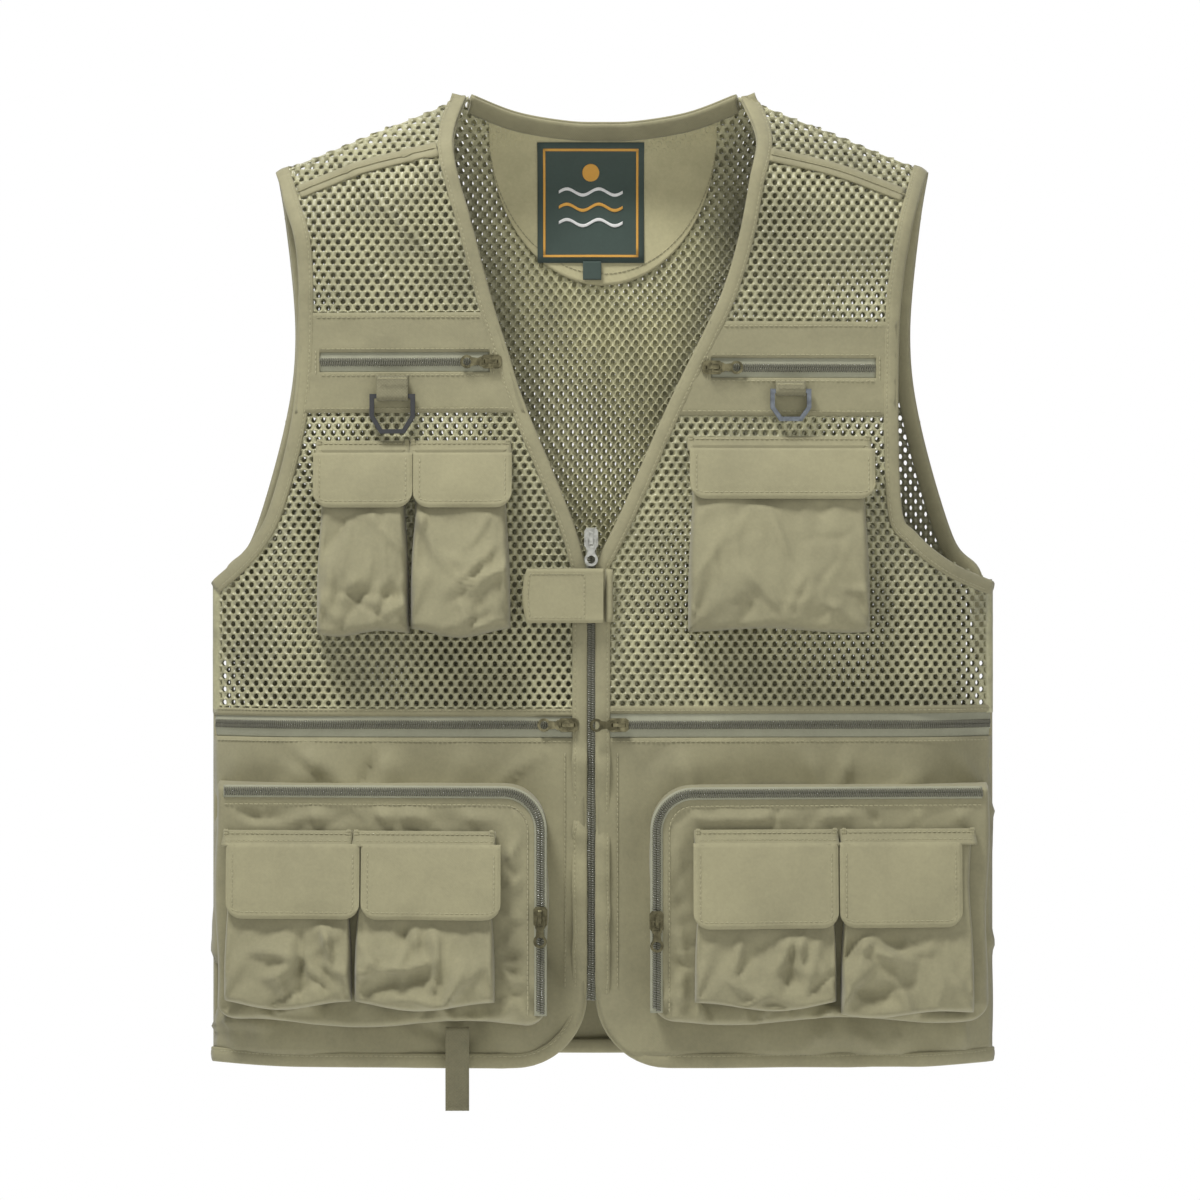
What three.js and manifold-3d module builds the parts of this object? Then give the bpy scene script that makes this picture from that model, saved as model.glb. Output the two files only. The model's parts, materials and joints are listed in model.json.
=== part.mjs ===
// Fishing vest, hung upright and facing -Y. Millimetres, +Z up, +X to the wearer's left.
// Z = 0 is the neck point and Y = 0 the plane of the shoulder ridge and the side seams.
import * as THREE from "three";
import { mergeVertices } from "three/addons/utils/BufferGeometryUtils.js";
import Module from "manifold-3d";

const wasm = await Module();
wasm.setup();

// ---- Driving dimensions ----
const chest_half = 270; // centre to side seam
const vest_drop = 662; // neck point to hem
const front_depth = 55; // zip to the side seams' plane
const back_depth = 58; // middle of the back to the same plane
const front_slope = 0.06; // fall of each front per mm of width, away from the zip
const side_round = 65; // width over which a front rounds off into its side seam
const back_flat = 120; // half of the back that stays flat before it rounds off
const shoulder_roll = 60; // drop over which the cloth rolls over the shoulder
const shoulder_fall = 0.403; // fall of the shoulder ridge per mm of width
const neck_half = 92; // centre to the top of the shoulder ridge
const neck_rise = 6; // height of the shoulder ridge there
const ridge_seam = 0.8; // how far below the ridge the panels stop
const cloth = 2; // thickness of a panel
const gap = 0.4; // clearance between two sewn pieces
const binding_width = 9.6;
const binding_extra = 0.2; // how far a binding stands proud of its panel

const zip_x = -8; // the left front overlaps the right, so the zip is off centre
const chain_width = 5.6;
const chain_top = 2.6; // height of a zip chain over the lining surface
const tape = 1; // thickness of a zip tape
const zip_band = 17; // width of the tape that shows
const slider_length = 14;
const slider_width = 9.4;
const slider_clear = 0.3; // slider over its chain
const puller_length = 21;
const puller_thick = 1.2;

const cargo_depth = 36; // cargo pocket over the front at the zip
const cargo_slope = 0.12; // fall of the cargo lid per mm of width
const cargo_wall = 1.6;
const cargo_corner = 30; // corner that the cargo zip turns
const bag_wall = 1.2;
const header_height = 8; // strip that a flap is sewn to
const header_end = 7; // thick end of that strip, past the mouth
const header_lift = 9.4;
const mouth_lift = 9.5; // how far a bag's mouth stands out
const chest_bag_depth = 30;
const small_bag_depth = 18;
const flap_thick = 1.8;
const tab_lift = 8.6; // closure tab over the placket, so that the centre slider passes below it
const tab_thick = 2;
const ring_bar = 3;

const lining = gap; // every panel starts this far out of the shared surface
const shell = lining + cloth; // and ends here
const grade_x = chest_half / 270; // pattern grading, as a tailor's: outlines follow the two body sizes
const grade_z = vest_drop / 662;

// ---- Colours ----
const looks = {
  cloth: { color: 0x98936f, roughness: 0.9, metalness: 0 },
  net: { color: 0xb8b58c, roughness: 0.7, metalness: 0 },
  edging: { color: 0x8a8564, roughness: 0.85, metalness: 0 },
  tape: { color: 0x969887, roughness: 0.9, metalness: 0 },
  chain: { color: 0x5c5c54, roughness: 0.4, metalness: 0.3 },
  steel: { color: 0xa9a9a4, roughness: 0.35, metalness: 1 },
  brass: { color: 0x6a6346, roughness: 0.4, metalness: 0.9 },
  plastic: { color: 0x2d2e30, roughness: 0.5, metalness: 0 },
  ring_metal: { color: 0x788287, roughness: 0.3, metalness: 1 },
  label: { color: 0x42504a, roughness: 0.8, metalness: 0 },
};

const vest = new THREE.Group();

// ---- Solids ----
function solid(geometry) {
  const bare = new THREE.BufferGeometry();
  bare.setAttribute("position", geometry.getAttribute("position"));
  bare.setIndex(geometry.index);
  const merged = mergeVertices(bare, 1e-4);
  return new wasm.Manifold(
    new wasm.Mesh({
      numProp: 3,
      vertProperties: merged.attributes.position.array,
      triVerts: new Uint32Array(merged.index.array),
    }),
  );
}

function add(parent, name, shape, look) {
  const made = shape.getMesh();
  const geometry = new THREE.BufferGeometry();
  geometry.setAttribute("position", new THREE.BufferAttribute(made.vertProperties, 3));
  geometry.setIndex(new THREE.BufferAttribute(made.triVerts, 1));
  geometry.computeVertexNormals();
  const mesh = new THREE.Mesh(geometry, new THREE.MeshStandardMaterial(looks[look]));
  mesh.name = name;
  parent.add(mesh);
  return mesh;
}

function flat_shape(outline, holes = []) {
  const shape = new THREE.Shape(outline.map(([x, z]) => new THREE.Vector2(x, z)));
  shape.holes = holes.map((hole) => new THREE.Path(hole.map(([x, z]) => new THREE.Vector2(x, z))));
  return shape;
}

// The X-Z outline drawn out along Y, from low to high.
function prism(outline, low, high, holes = []) {
  const geometry = new THREE.ExtrudeGeometry(flat_shape(outline, holes), {
    depth: high - low,
    bevelEnabled: false,
  });
  geometry.rotateX(Math.PI / 2);
  geometry.translate(0, high, 0);
  return solid(geometry);
}

// The X-Y outline drawn out along Z, centred on Z = 0.
function upright_prism(outline, height) {
  const geometry = new THREE.ExtrudeGeometry(flat_shape(outline), { depth: height, bevelEnabled: false });
  geometry.translate(0, 0, -height / 2);
  return solid(geometry);
}

function block(x0, x1, y0, y1, z0, z1) {
  const geometry = new THREE.BoxGeometry(x1 - x0, y1 - y0, z1 - z0);
  geometry.translate((x0 + x1) / 2, (y0 + y1) / 2, (z0 + z1) / 2);
  return solid(geometry);
}

function rectangle(x0, x1, z0, z1) {
  return [[x0, z0], [x1, z0], [x1, z1], [x0, z1]];
}

function circle(x, z, radius, pieces) {
  return Array.from({ length: pieces }, (_, i) => {
    const turn = (2 * Math.PI * i) / pieces;
    return [x + radius * Math.cos(turn), z + radius * Math.sin(turn)];
  });
}

// An arc from one angle to another, in degrees.
function arc(x, z, radius, from, to, pieces) {
  return Array.from({ length: pieces + 1 }, (_, i) => {
    const turn = THREE.MathUtils.degToRad(from + ((to - from) * i) / pieces);
    return [x + radius * Math.cos(turn), z + radius * Math.sin(turn)];
  });
}

function smooth(points, pieces) {
  const curve = new THREE.SplineCurve(points.map(([x, z]) => new THREE.Vector2(x, z)));
  return curve.getPoints(pieces).map((point) => [point.x, point.y]);
}

const graded = (points) => points.map(([x, z]) => [x * grade_x, z * grade_z]);

// The line moved sideways, to its left as it is walked.
function moved(line, distance) {
  return line.map((point, i) => {
    const before = line[Math.max(i - 1, 0)];
    const after = line[Math.min(i + 1, line.length - 1)];
    const run = Math.hypot(after[0] - before[0], after[1] - before[1]);
    return [
      point[0] - ((after[1] - before[1]) / run) * distance,
      point[1] + ((after[0] - before[0]) / run) * distance,
    ];
  });
}

// ---- The body's surface ----
const flat_half = chest_half - side_round;
const ridge = (x) => (neck_rise - shoulder_fall * Math.max(0, Math.abs(x) / grade_x - neck_half)) * grade_z;

function rolled(x, z) {
  const below = THREE.MathUtils.clamp((ridge(x) - z) / shoulder_roll, 0, 1);
  return Math.sin((Math.PI / 2) * below);
}

function rounded_off(x, flat_half) {
  const share = (Math.abs(x) - flat_half) / (chest_half - flat_half);
  return Math.cos((Math.PI / 2) * THREE.MathUtils.clamp(share, 0, 1));
}

const front_plane = (x) => front_depth - front_slope * Math.abs(x - zip_x);
const cargo_plane = (x) => front_depth + cargo_depth - cargo_slope * Math.abs(x - zip_x);
const front = (x, z) => front_plane(x) * rounded_off(x, flat_half) * rolled(x, z);
const back = (x, z) => back_depth * rounded_off(x, back_flat) * rolled(x, z);
const over = (surface, lift) => (x, z) => surface(x, z) + lift;

const round_lines = [1, 0.87, 0.7, 0.46, 0.23].map((share) => flat_half + share * side_round);
const neck_line = neck_half * grade_x;
const shoulder_lines = [0, 1, 2, 3, 4, 5].map((step) => neck_line + (step / 5) * (flat_half - neck_line));
const grid_x = [chest_half + 30, ...round_lines, ...shoulder_lines, neck_line / 2].flatMap((x) => [-x, x]);
grid_x.push(zip_x);
grid_x.sort((a, b) => a - b);
const roll_lines = [10, 0, -12, -24, -36, -48, -60, -75, -90, -112].map((z) => z * grade_z);
const grid_z = [-vest_drop - 40, ...roll_lines, 30].sort((a, b) => a - b);

function lines_around(lines, low, high) {
  const first = lines.filter((line) => line <= low).length - 1;
  const last = lines.findIndex((line) => line >= high);
  return lines.slice(first, last + 1);
}

// A sheet with this X-Z outline between two depths; facing is -1 on the front and 1 on the back.
function layer(outline, inner, outer, facing = -1) {
  const all_x = outline.map(([x]) => x);
  const all_z = outline.map(([, z]) => z);
  const xs = lines_around(grid_x, Math.min(...all_x), Math.max(...all_x));
  const zs = lines_around(grid_z, Math.min(...all_z), Math.max(...all_z));
  const box = new THREE.BoxGeometry(1, 1, 1, xs.length - 1, 1, zs.length - 1);
  const spots = box.getAttribute("position");
  for (let i = 0; i < spots.count; i += 1) {
    const x = xs[Math.round((spots.getX(i) + 0.5) * (xs.length - 1))];
    const z = zs[Math.round((spots.getZ(i) + 0.5) * (zs.length - 1))];
    const depth = spots.getY(i) * facing > 0 ? outer(x, z) : inner(x, z);
    spots.setXYZ(i, x, facing * depth, z);
  }
  return solid(box).intersect(prism(outline, -300, 300));
}

// ---- The two fronts ----
const zip_edge = chain_width / 2 + gap; // zip centre to the placket's edge
const edge_corner = 50 * grade_z;
const sides = {
  right: {
    sign: -1,
    neck: [[-95, 4.8], [-103, -33], [-88, -94], [-76, -139], [-66, -171], [-54, -209], [-22, -287]],
    v_end: -325,
    armhole: [[-226, -48], [-218, -71], [-208, -112], [-210, -205], [-226, -276], [-243, -307], [-270, -331]],
    band: [-147, -216],
    ring: { x: -143.5, hang: 14, loop: 21, width: 31, drop: 27, look: "plastic" },
    pocket_top: -235,
    zip: -181,
    chest_slider: -76,
    waist_slider: -23.5,
    cargo: [-266, -37, -632, -468],
    cargo_slider: -557,
  },
  left: {
    sign: 1,
    neck: [[96, 4.4], [106, -26], [101, -54], [94, -92], [83, -130], [70, -159], [44, -212], [12, -285]],
    v_end: -318,
    armhole: [[224, -47], [210, -92], [202, -159], [203, -274], [214, -298], [239, -318], [270, -331]],
    band: [-153, -218],
    ring: { x: 128, hang: 6.5, loop: 20, width: 28, drop: 22, look: "ring_metal" },
    pocket_top: -232,
    zip: -185,
    chest_slider: 74.5,
    waist_slider: 10.5,
    cargo: [31, 266, -630, -469],
    cargo_slider: -560,
  },
};
const waist = { top: -420 * grade_z, chain: -428.5 * grade_z, bottom: -437 * grade_z };

// The front's free edge: neck, V, zip, rounded corner and hem.
function free_edge(side) {
  const x = zip_x + side.sign * zip_edge;
  const v_line = smooth([...graded(side.neck), [x, side.v_end * grade_z]], 14);
  const middle = x + side.sign * edge_corner;
  const from = side.sign < 0 ? 0 : 180;
  const corner = arc(middle, -vest_drop + edge_corner, edge_corner, from, side.sign < 0 ? -90 : 270, 6);
  return [...v_line, ...corner, [side.sign * (chest_half - 1), -vest_drop]];
}

const armhole = (side) => smooth(graded(side.armhole), 14);

// A line that starts on the shoulder ridge and then stays clear of it.
function from_ridge(line) {
  const clear = (x) => ridge(x) - ridge_seam - 2;
  const [first, ...rest] = line;
  return [[first[0], ridge(first[0]) - ridge_seam], ...rest.map(([x, z]) => [x, Math.min(z, clear(x))])];
}

// Everything of a front that is inside its bindings.
function front_outline(side) {
  const inset = binding_width + gap;
  const edge = from_ridge(moved(free_edge(side), side.sign * inset));
  const hole = from_ridge(moved(armhole(side), -side.sign * inset));
  const seam = side.sign * (chest_half - 1);
  const [ax, az] = hole.at(-2);
  const [bx, bz] = hole.at(-1);
  const under_arm = bz + ((seam - bx) * (bz - az)) / (bx - ax);
  return [...edge, [seam, under_arm], ...hole.reverse()];
}

function binding_outline(line, distance) {
  return [...line, ...from_ridge(moved(line, distance)).reverse()];
}

// One panel: the front's outline between two heights.
function panel(side, top, bottom, inner = over(front, lining), outer = over(front, shell)) {
  const rows = block(-400, 400, -300, 300, bottom + gap / 2, top - gap / 2);
  return layer(front_outline(side), inner, outer).intersect(rows);
}

function sheet(outline, from, to, surface = front) {
  return layer(outline, over(surface, from), over(surface, to));
}

// Where a line passes a height.
function x_at(line, z) {
  const i = line.findIndex((point) => point[1] <= z);
  const [[ax, az], [bx, bz]] = [line[i - 1], line[i]];
  return ax + ((bx - ax) * (z - az)) / (bz - az);
}

// A chest zip's slot ends just short of the two bindings.
function slot_ends(side, zip) {
  const edge = moved(free_edge(side), side.sign * binding_width);
  const hole = moved(armhole(side), -side.sign * binding_width);
  const inner = side.sign * x_at(edge, zip + zip_band / 2) + 1;
  const outer = side.sign * x_at(hole, zip) - 5;
  return side.sign < 0 ? [-outer, -inner] : [inner, outer];
}

function make_front(name, side) {
  const top = side.band[0] * grade_z;
  const bottom = side.band[1] * grade_z;
  const zip = side.zip * grade_z;
  const proud = shell + binding_extra;
  add(vest, `upper_mesh_${name}`, panel(side, neck_rise + 5, top), "net");
  const slot_x = slot_ends(side, zip);
  const slot = rectangle(...slot_x, zip - zip_band / 2, zip + zip_band / 2);
  const band = panel(side, top, bottom).subtract(prism(slot, -300, 300));
  add(vest, `chest_band_${name}`, band, "cloth");
  const tape_x = [slot_x[0] + gap, slot_x[1] - gap];
  const tape_shape = rectangle(...tape_x, zip - zip_band / 2 + gap, zip + zip_band / 2 - gap);
  const chain_shape = rectangle(...tape_x, zip - chain_width / 2, zip + chain_width / 2);
  const chest_zip = sheet(tape_shape, lining, lining + tape).add(sheet(chain_shape, lining, chain_top));
  add(vest, `chest_zip_${name}`, chest_zip, "tape");
  add(vest, `mid_mesh_${name}`, panel(side, bottom, waist.top), "net");
  const rows = block(-400, 400, -300, 300, waist.chain - chain_width / 2, waist.chain + chain_width / 2);
  const chain = layer(front_outline(side), over(front, lining), over(front, chain_top)).intersect(rows);
  const waist_tape = panel(side, waist.top, waist.bottom, over(front, lining), over(front, lining + tape));
  add(vest, `waist_zip_${name}`, waist_tape.add(chain), "tape");
  add(vest, `lower_panel_${name}`, panel(side, waist.bottom, -vest_drop - 10), "cloth");
  const arm = binding_outline(armhole(side), -side.sign * binding_width);
  add(vest, `armhole_binding_${name}`, sheet(arm, lining, proud), "edging");
  let edging = sheet(binding_outline(free_edge(side), side.sign * binding_width), lining, proud);
  if (side.sign > 0) edging = edging.add(tab_base());
  add(vest, `front_edge_binding_${name}`, edging, "edging");
}

// ---- Closure tab ----
const tab = { hinge: 0.3, top: -322 * grade_z, bottom: -359 * grade_z, reach: 52 };

function tab_base() {
  const low = front_plane(tab.hinge);
  const outline = rectangle(tab.hinge + 1.3, tab.hinge + 6, tab.bottom, tab.top);
  return prism(outline, -low - tab_lift, -low - shell);
}

function make_closure_tab() {
  const frame = frame_at(sides.left, front_plane, front_slope, tab.hinge, tab_lift + tab_thick / 2, tab.top);
  const drop = tab.top - tab.bottom;
  const tip = [[5 - tab.reach, -drop], [-tab.reach, 4 - drop], [-tab.reach - 3, -drop / 2], [-tab.reach, -4]];
  const outline = [[0, 0], [0, -drop], ...tip, [5 - tab.reach, 0]];
  frame.rotation.z = 0;
  add(frame, "closure_tab", prism(outline, -tab_thick / 2, tab_thick / 2), "cloth");
}

// ---- Centre zip ----
const centre_zip = { top: -294 * grade_z, bottom: -616 * grade_z, slider: -301.5 * grade_z };

function make_centre_zip() {
  const x0 = zip_x - chain_width / 2;
  const outline = rectangle(x0, x0 + chain_width, centre_zip.bottom, centre_zip.top);
  add(vest, "center_zip", sheet(outline, lining, chain_top), "chain");
}

// ---- Hardware frames: local X runs along the cloth, local -Y out of it ----
function frame_at(side, plane, slope, x, lift, z) {
  const frame = new THREE.Group();
  frame.position.set(x, -(plane(x) + lift), z);
  frame.rotation.z = side.sign * Math.atan(slope);
  vest.add(frame);
  return frame;
}

// ---- Slider and puller; the pull points along local +X before the turn about Y ----
const pivot_height = 2.9; // puller's bar over the chain
const bail_foot = slider_clear + 1.2;
const wing_top = slider_clear + 1.4;
const bail_gap = pivot_height + 1.1; // underside of the bail's bridge
const bail_top = bail_gap + 1;

function slider_shape() {
  const half = slider_length / 2;
  const wide = slider_width / 2;
  const wing = [[-half, -wide + 1.5], [-half + 2, -wide], [half - 2, -wide], [half, -wide + 1.7],
    [half, wide - 1.7], [half - 2, wide], [-half + 2, wide], [-half, wide - 1.5]];
  const bail = [[-4.8, -bail_foot], [-4.8, 0.8 - bail_top], [-4, -bail_top], [4, -bail_top],
    [4.8, 0.8 - bail_top], [4.8, -bail_foot], [3.2, -bail_foot], [3.2, -bail_gap], [-3.2, -bail_gap],
    [-3.2, -bail_foot]];
  return prism(wing, -wing_top, -slider_clear).add(upright_prism(bail, 2.4));
}

function puller_shape(length) {
  const eye = 4.6;
  const centre = length - eye;
  const head = arc(centre, 0, eye, -140, 140, 12);
  const outline = [[-0.6, 3.4], [-0.6, -3.4], [7.2, -3.4], [8.6, -2.4], ...head, [8.6, 2.4], [7.2, 3.4]];
  const window = rectangle(0.6, 6.4, -2.2, 2.2);
  return prism(outline, -puller_thick / 2, puller_thick / 2, [window, circle(centre, 0, 2.8, 12)]);
}

const pull_to = { left: 0, down: Math.PI / 2, right: Math.PI };

function make_slider(name, side, plane, slope, x, lift, z, pull, options = {}) {
  const frame = frame_at(side, plane, slope, x, lift, z);
  if (options.straight) frame.rotation.z = 0;
  const body = add(frame, `${name}_slider`, slider_shape(), options.look ?? "brass");
  body.rotation.y = pull;
  const puller = add(frame, `${name}_puller`, puller_shape(options.length ?? puller_length), "brass");
  puller.position.y = -pivot_height;
  puller.rotation.set(0, pull, -THREE.MathUtils.degToRad(options.tilt ?? 0));
}

// ---- Pockets ----
// The webbing hangs just below the zip, and the chest pockets start below the ring.
const ring_bar_z = (side) => side.zip * grade_z - zip_band / 2 - 1 - side.ring.hang;
const ring_foot = (side) => ring_bar_z(side) + ring_bar / 2 - side.ring.drop;
const chest_top = (side) => Math.min(side.pocket_top, (ring_foot(side) - 4) / grade_z);

function pocket_outline(x0, x1, z0, z1, corner) {
  return [...arc(x0 + corner, z0 + corner, corner, 180, 270, 4),
    ...arc(x1 - corner, z0 + corner, corner, 270, 360, 4), [x1, z1], [x0, z1]];
}

// A bag with its header and flap. The bag stands on a plane and deepens from its mouth to its floor.
function make_pocket(name, side, plane, slope, base, depth, spot) {
  const [x0, x1] = spot.bag.map((x) => x * grade_x);
  const [head_top, floor, flap_end] = [spot.top, spot.floor, spot.flap_end].map((z) => z * grade_z);
  const head_bottom = head_top - header_height;
  const mouth = head_bottom - 6;
  const lean = (depth - mouth_lift) / (mouth - floor);
  const front_face = (x, z) => plane(x) + base + mouth_lift - gap + (mouth - z) * lean;
  const foot = base + gap;
  const outside = layer(pocket_outline(x0, x1, floor, mouth, 9), over(plane, foot), front_face);
  const hollow = pocket_outline(x0 + bag_wall, x1 - bag_wall, floor + bag_wall, mouth + 30, 8);
  const inside = layer(hollow, over(plane, foot + bag_wall), (x, z) => front_face(x, z) - bag_wall);
  const strip = rectangle(x0, x1, mouth - 5, head_top);
  const backing = layer(strip, over(plane, foot), over(plane, foot + bag_wall));
  let bag = outside.subtract(inside).add(backing);
  for (const end of [x0, x1 - header_end]) {
    const block_shape = rectangle(end, end + header_end, head_bottom, head_top);
    bag = bag.add(layer(block_shape, over(plane, foot), over(plane, base + header_lift)));
  }
  add(vest, `${name}_bag`, bag, "cloth");

  const [f0, f1] = spot.flap.map((x) => x * grade_x);
  const pivot_drop = 1.4; // hinge line below the header
  const hinge_z = head_bottom - pivot_drop;
  const hinge_lift = base + mouth_lift + (mouth - hinge_z) * lean + flap_thick / 2 + 0.1;
  const middle = (f0 + f1) / 2;
  const frame = frame_at(side, plane, slope, middle, hinge_lift, hinge_z);
  const half = (f1 - f0) / 2 / Math.cos(Math.atan(slope));
  const outline = pocket_outline(-half, half, flap_end - hinge_z, 0, 9);
  const flap = add(frame, `${name}_flap`, prism(outline, -flap_thick / 2, flap_thick / 2), "cloth");
  flap.rotation.x = -Math.atan(lean);
}

const chest_right = { side: "right", top: chest_top(sides.right), floor: -367, flap_end: -281 };
const chest_left = { side: "left", top: chest_top(sides.left), floor: -365, flap_end: -275 };
const chest_pockets = {
  chest_right_outer: { ...chest_right, bag: [-195, -132], flap: [-197, -129.6] },
  chest_right_inner: { ...chest_right, bag: [-131, -63], flap: [-128.8, -62] },
  chest_left: { ...chest_left, bag: [58, 182], flap: [59, 185] },
};
const cargo_right = { side: "right", top: -500, floor: -619, flap_end: -559 };
const cargo_left = { side: "left", top: -499, flap_end: -565 };
const cargo_pockets = {
  cargo_right_outer: { ...cargo_right, bag: [-257, -170], flap: [-255, -164.5] },
  cargo_right_inner: { ...cargo_right, bag: [-168, -73], flap: [-163, -69] },
  cargo_left_inner: { ...cargo_left, bag: [62, 158], flap: [61, 158.5], floor: -619 },
  cargo_left_outer: { ...cargo_left, bag: [161, 252], flap: [160, 243], floor: -625 },
};

// ---- Cargo shells: open behind, with the lid as their front ----
function cargo_outline(side, inset) {
  const [x0, x1, z0, z1] = [side.cargo[0] * grade_x, side.cargo[1] * grade_x, side.cargo[2] * grade_z,
    side.cargo[3] * grade_z];
  const [left, right, low, high] = [x0 + inset, x1 - inset, z0 + inset, z1 - inset];
  const turn = cargo_corner - inset;
  if (side.sign < 0) {
    return [[left, low], [right, low], ...arc(right - turn, high - turn, turn, 0, 90, 5), [left, high]];
  }
  return [[left, low], [right, low], [right, high], ...arc(left + turn, high - turn, turn, 90, 180, 5)];
}

function make_cargo(name, side) {
  const outside = layer(cargo_outline(side, 0), over(front, shell + gap), cargo_plane);
  const inside = layer(cargo_outline(side, cargo_wall), front, over(cargo_plane, -cargo_wall));
  add(vest, `cargo_${name}_shell`, outside.subtract(inside), "cloth");
  const zip_shape = (half) => {
    const way = cargo_zip_line(side);
    return [...moved(way, half), ...moved(way, -half).reverse()];
  };
  const zip_tape = sheet(zip_shape(4), gap, gap + tape, cargo_plane);
  const chain = sheet(zip_shape(chain_width / 2), gap, cargo_chain_top, cargo_plane);
  add(vest, `cargo_${name}_zip`, zip_tape.add(chain), "tape");
}

const cargo_chain_top = gap + 2;
const cargo_zip_inset = 5;

// Along the lid's top, round the inner corner and down the inner side.
function cargo_zip_line(side) {
  const outline = cargo_outline(side, cargo_zip_inset);
  const corner = side.sign < 0 ? outline.slice(2, -1).reverse() : outline.slice(3);
  const outer_x = side.sign * (chest_half - 12);
  const inner_x = corner.at(-1)[0];
  return [[outer_x, corner[0][1]], ...corner, [inner_x, side.cargo[2] * grade_z + 8]];
}

// ---- Ring loops and D-rings ----
const loop_wall = 1.2;
const loop_inner = ring_bar * Math.SQRT1_2 + 0.48; // the square bar turns inside the loop
const ring_lift = shell + gap + loop_wall + loop_inner; // bar of a D-ring over the cloth

function ring_shape(width, drop) {
  const w = width / 2;
  const top = ring_bar / 2;
  const low = top - drop;
  const outer = [[-w, top], [-w, low * 0.56], [-w * 0.55, low], [w * 0.55, low], [w, low * 0.56], [w, top]];
  const in_w = w - ring_bar;
  const in_low = low + ring_bar;
  const inner = [[-in_w, -top], [-in_w, low * 0.52], [-in_w * 0.55, in_low], [in_w * 0.55, in_low],
    [in_w, low * 0.52], [in_w, -top]];
  return prism(outer, -ring_bar / 2, ring_bar / 2, [inner]);
}

function loop_shape(width, rise) {
  const geometry = new THREE.ExtrudeGeometry(
    flat_shape(circle(0, 0, loop_inner + loop_wall, 16), [circle(0, 0, loop_inner, 16)]),
    { depth: width, bevelEnabled: false },
  );
  geometry.translate(0, 0, -width / 2);
  geometry.rotateY(Math.PI / 2);
  const outer_y = ring_lift - shell - gap;
  const webbing = block(-width / 2, width / 2, loop_inner, outer_y, -0.5, rise);
  return solid(geometry).add(webbing);
}

function make_ring(name, side) {
  const frame = frame_at(side, front_plane, front_slope, side.ring.x * grade_x, ring_lift, ring_bar_z(side));
  add(frame, `ring_loop_${name}`, loop_shape(side.ring.loop, side.ring.hang), "edging");
  add(frame, `d_ring_${name}`, ring_shape(side.ring.width, side.ring.drop), side.ring.look);
}

// ---- Utility strap under the right cargo pocket ----
function make_strap() {
  const top = sides.right.cargo[2] * grade_z - 1.6;
  const frame = frame_at(sides.right, front_plane, front_slope, -99 * grade_x, 12, top);
  add(frame, "utility_strap", prism(rectangle(-8, 8, -57, 0), -1, 1), "edging");
}

// ---- The back ----
const back_edge = {
  neck: [[-91, 5.6], [-60, -5], [-25, -10.4], [0, -11.2], [25, -10.4], [60, -5], [92, 5.6]],
  armhole: [[225, -47.2], [220, -84], [214, -160], [221, -221], [243, -300], [262, -326], [269, -384]],
};

function back_outline(top_inset) {
  const hole = smooth(graded(back_edge.armhole), 12);
  const mirrored = hole.map(([x, z]) => [-x, z]).reverse();
  const neck = moved(smooth(graded(back_edge.neck), 12), -top_inset);
  const seam = chest_half - 1;
  return [...mirrored, ...neck, ...hole, [seam, -vest_drop], [-seam, -vest_drop]];
}

function back_panel(top, bottom) {
  const rows = block(-400, 400, -300, 300, bottom, top);
  return layer(back_outline(binding_width + gap), over(back, lining), over(back, shell), 1).intersect(rows);
}

function make_back() {
  const split = waist.top;
  add(vest, "back_mesh", back_panel(50, split + gap / 2), "net");
  add(vest, "back_lower", back_panel(split - gap / 2, -vest_drop - 20), "cloth");
  const neck = smooth(graded(back_edge.neck), 12);
  const neck_band = [...neck, ...moved(neck, -binding_width).reverse()];
  const binding = layer(neck_band, over(back, lining), over(back, shell + binding_extra), 1);
  add(vest, "back_neck_binding", binding, "edging");
  const facing_half = 80 * grade_x;
  const facing_top = moved(neck, -binding_width - gap).filter(([x]) => Math.abs(x) < facing_half - 3);
  const half_moon = arc(0, 0, 1, 0, -180, 12).map(([x, z]) => [x * facing_half, (z * 106 - 16) * grade_z]);
  const facing = layer([...facing_top, ...half_moon], over(back, -1.6), back, 1);
  add(vest, "neck_facing", facing, "cloth");
  const label_box = rectangle(-46 * grade_x, 29 * grade_x, -106 * grade_z, -23 * grade_z);
  add(vest, "neck_label", layer(label_box, over(back, -3), over(back, -2), 1), "label");
}

// ---- The whole vest ----
for (const [name, side] of Object.entries(sides)) {
  make_front(name, side);
  make_cargo(name, side);
  make_ring(name, side);
  const chest_pull = side.sign < 0 ? pull_to.right : pull_to.left;
  const zip = side.zip * grade_z;
  make_slider(`chest_zip_${name}`, side, front_plane, front_slope, side.chest_slider * grade_x, chain_top, zip,
    chest_pull);
  make_slider(`waist_zip_${name}`, side, front_plane, front_slope, side.waist_slider * grade_x, chain_top,
    waist.chain, pull_to.right, { tilt: side.sign > 0 ? 18 : 0 });
  const leg = side.cargo[side.sign < 0 ? 1 : 0] * grade_x - side.sign * -cargo_zip_inset;
  make_slider(`cargo_${name}_zip`, side, cargo_plane, cargo_slope, leg, cargo_chain_top,
    side.cargo_slider * grade_z, pull_to.down);
}
make_centre_zip();
const centre_look = { straight: true, look: "steel", length: 19 };
make_slider("center_zip", sides.left, front_plane, front_slope, zip_x, chain_top, centre_zip.slider,
  pull_to.down, centre_look);
make_closure_tab();
for (const [name, spot] of Object.entries(chest_pockets)) {
  make_pocket(name, sides[spot.side], front_plane, front_slope, shell, chest_bag_depth, spot);
}
for (const [name, spot] of Object.entries(cargo_pockets)) {
  make_pocket(name, sides[spot.side], cargo_plane, cargo_slope, 0, small_bag_depth, spot);
}
make_strap();
make_back();

export default vest;
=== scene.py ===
import json
import math

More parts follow.
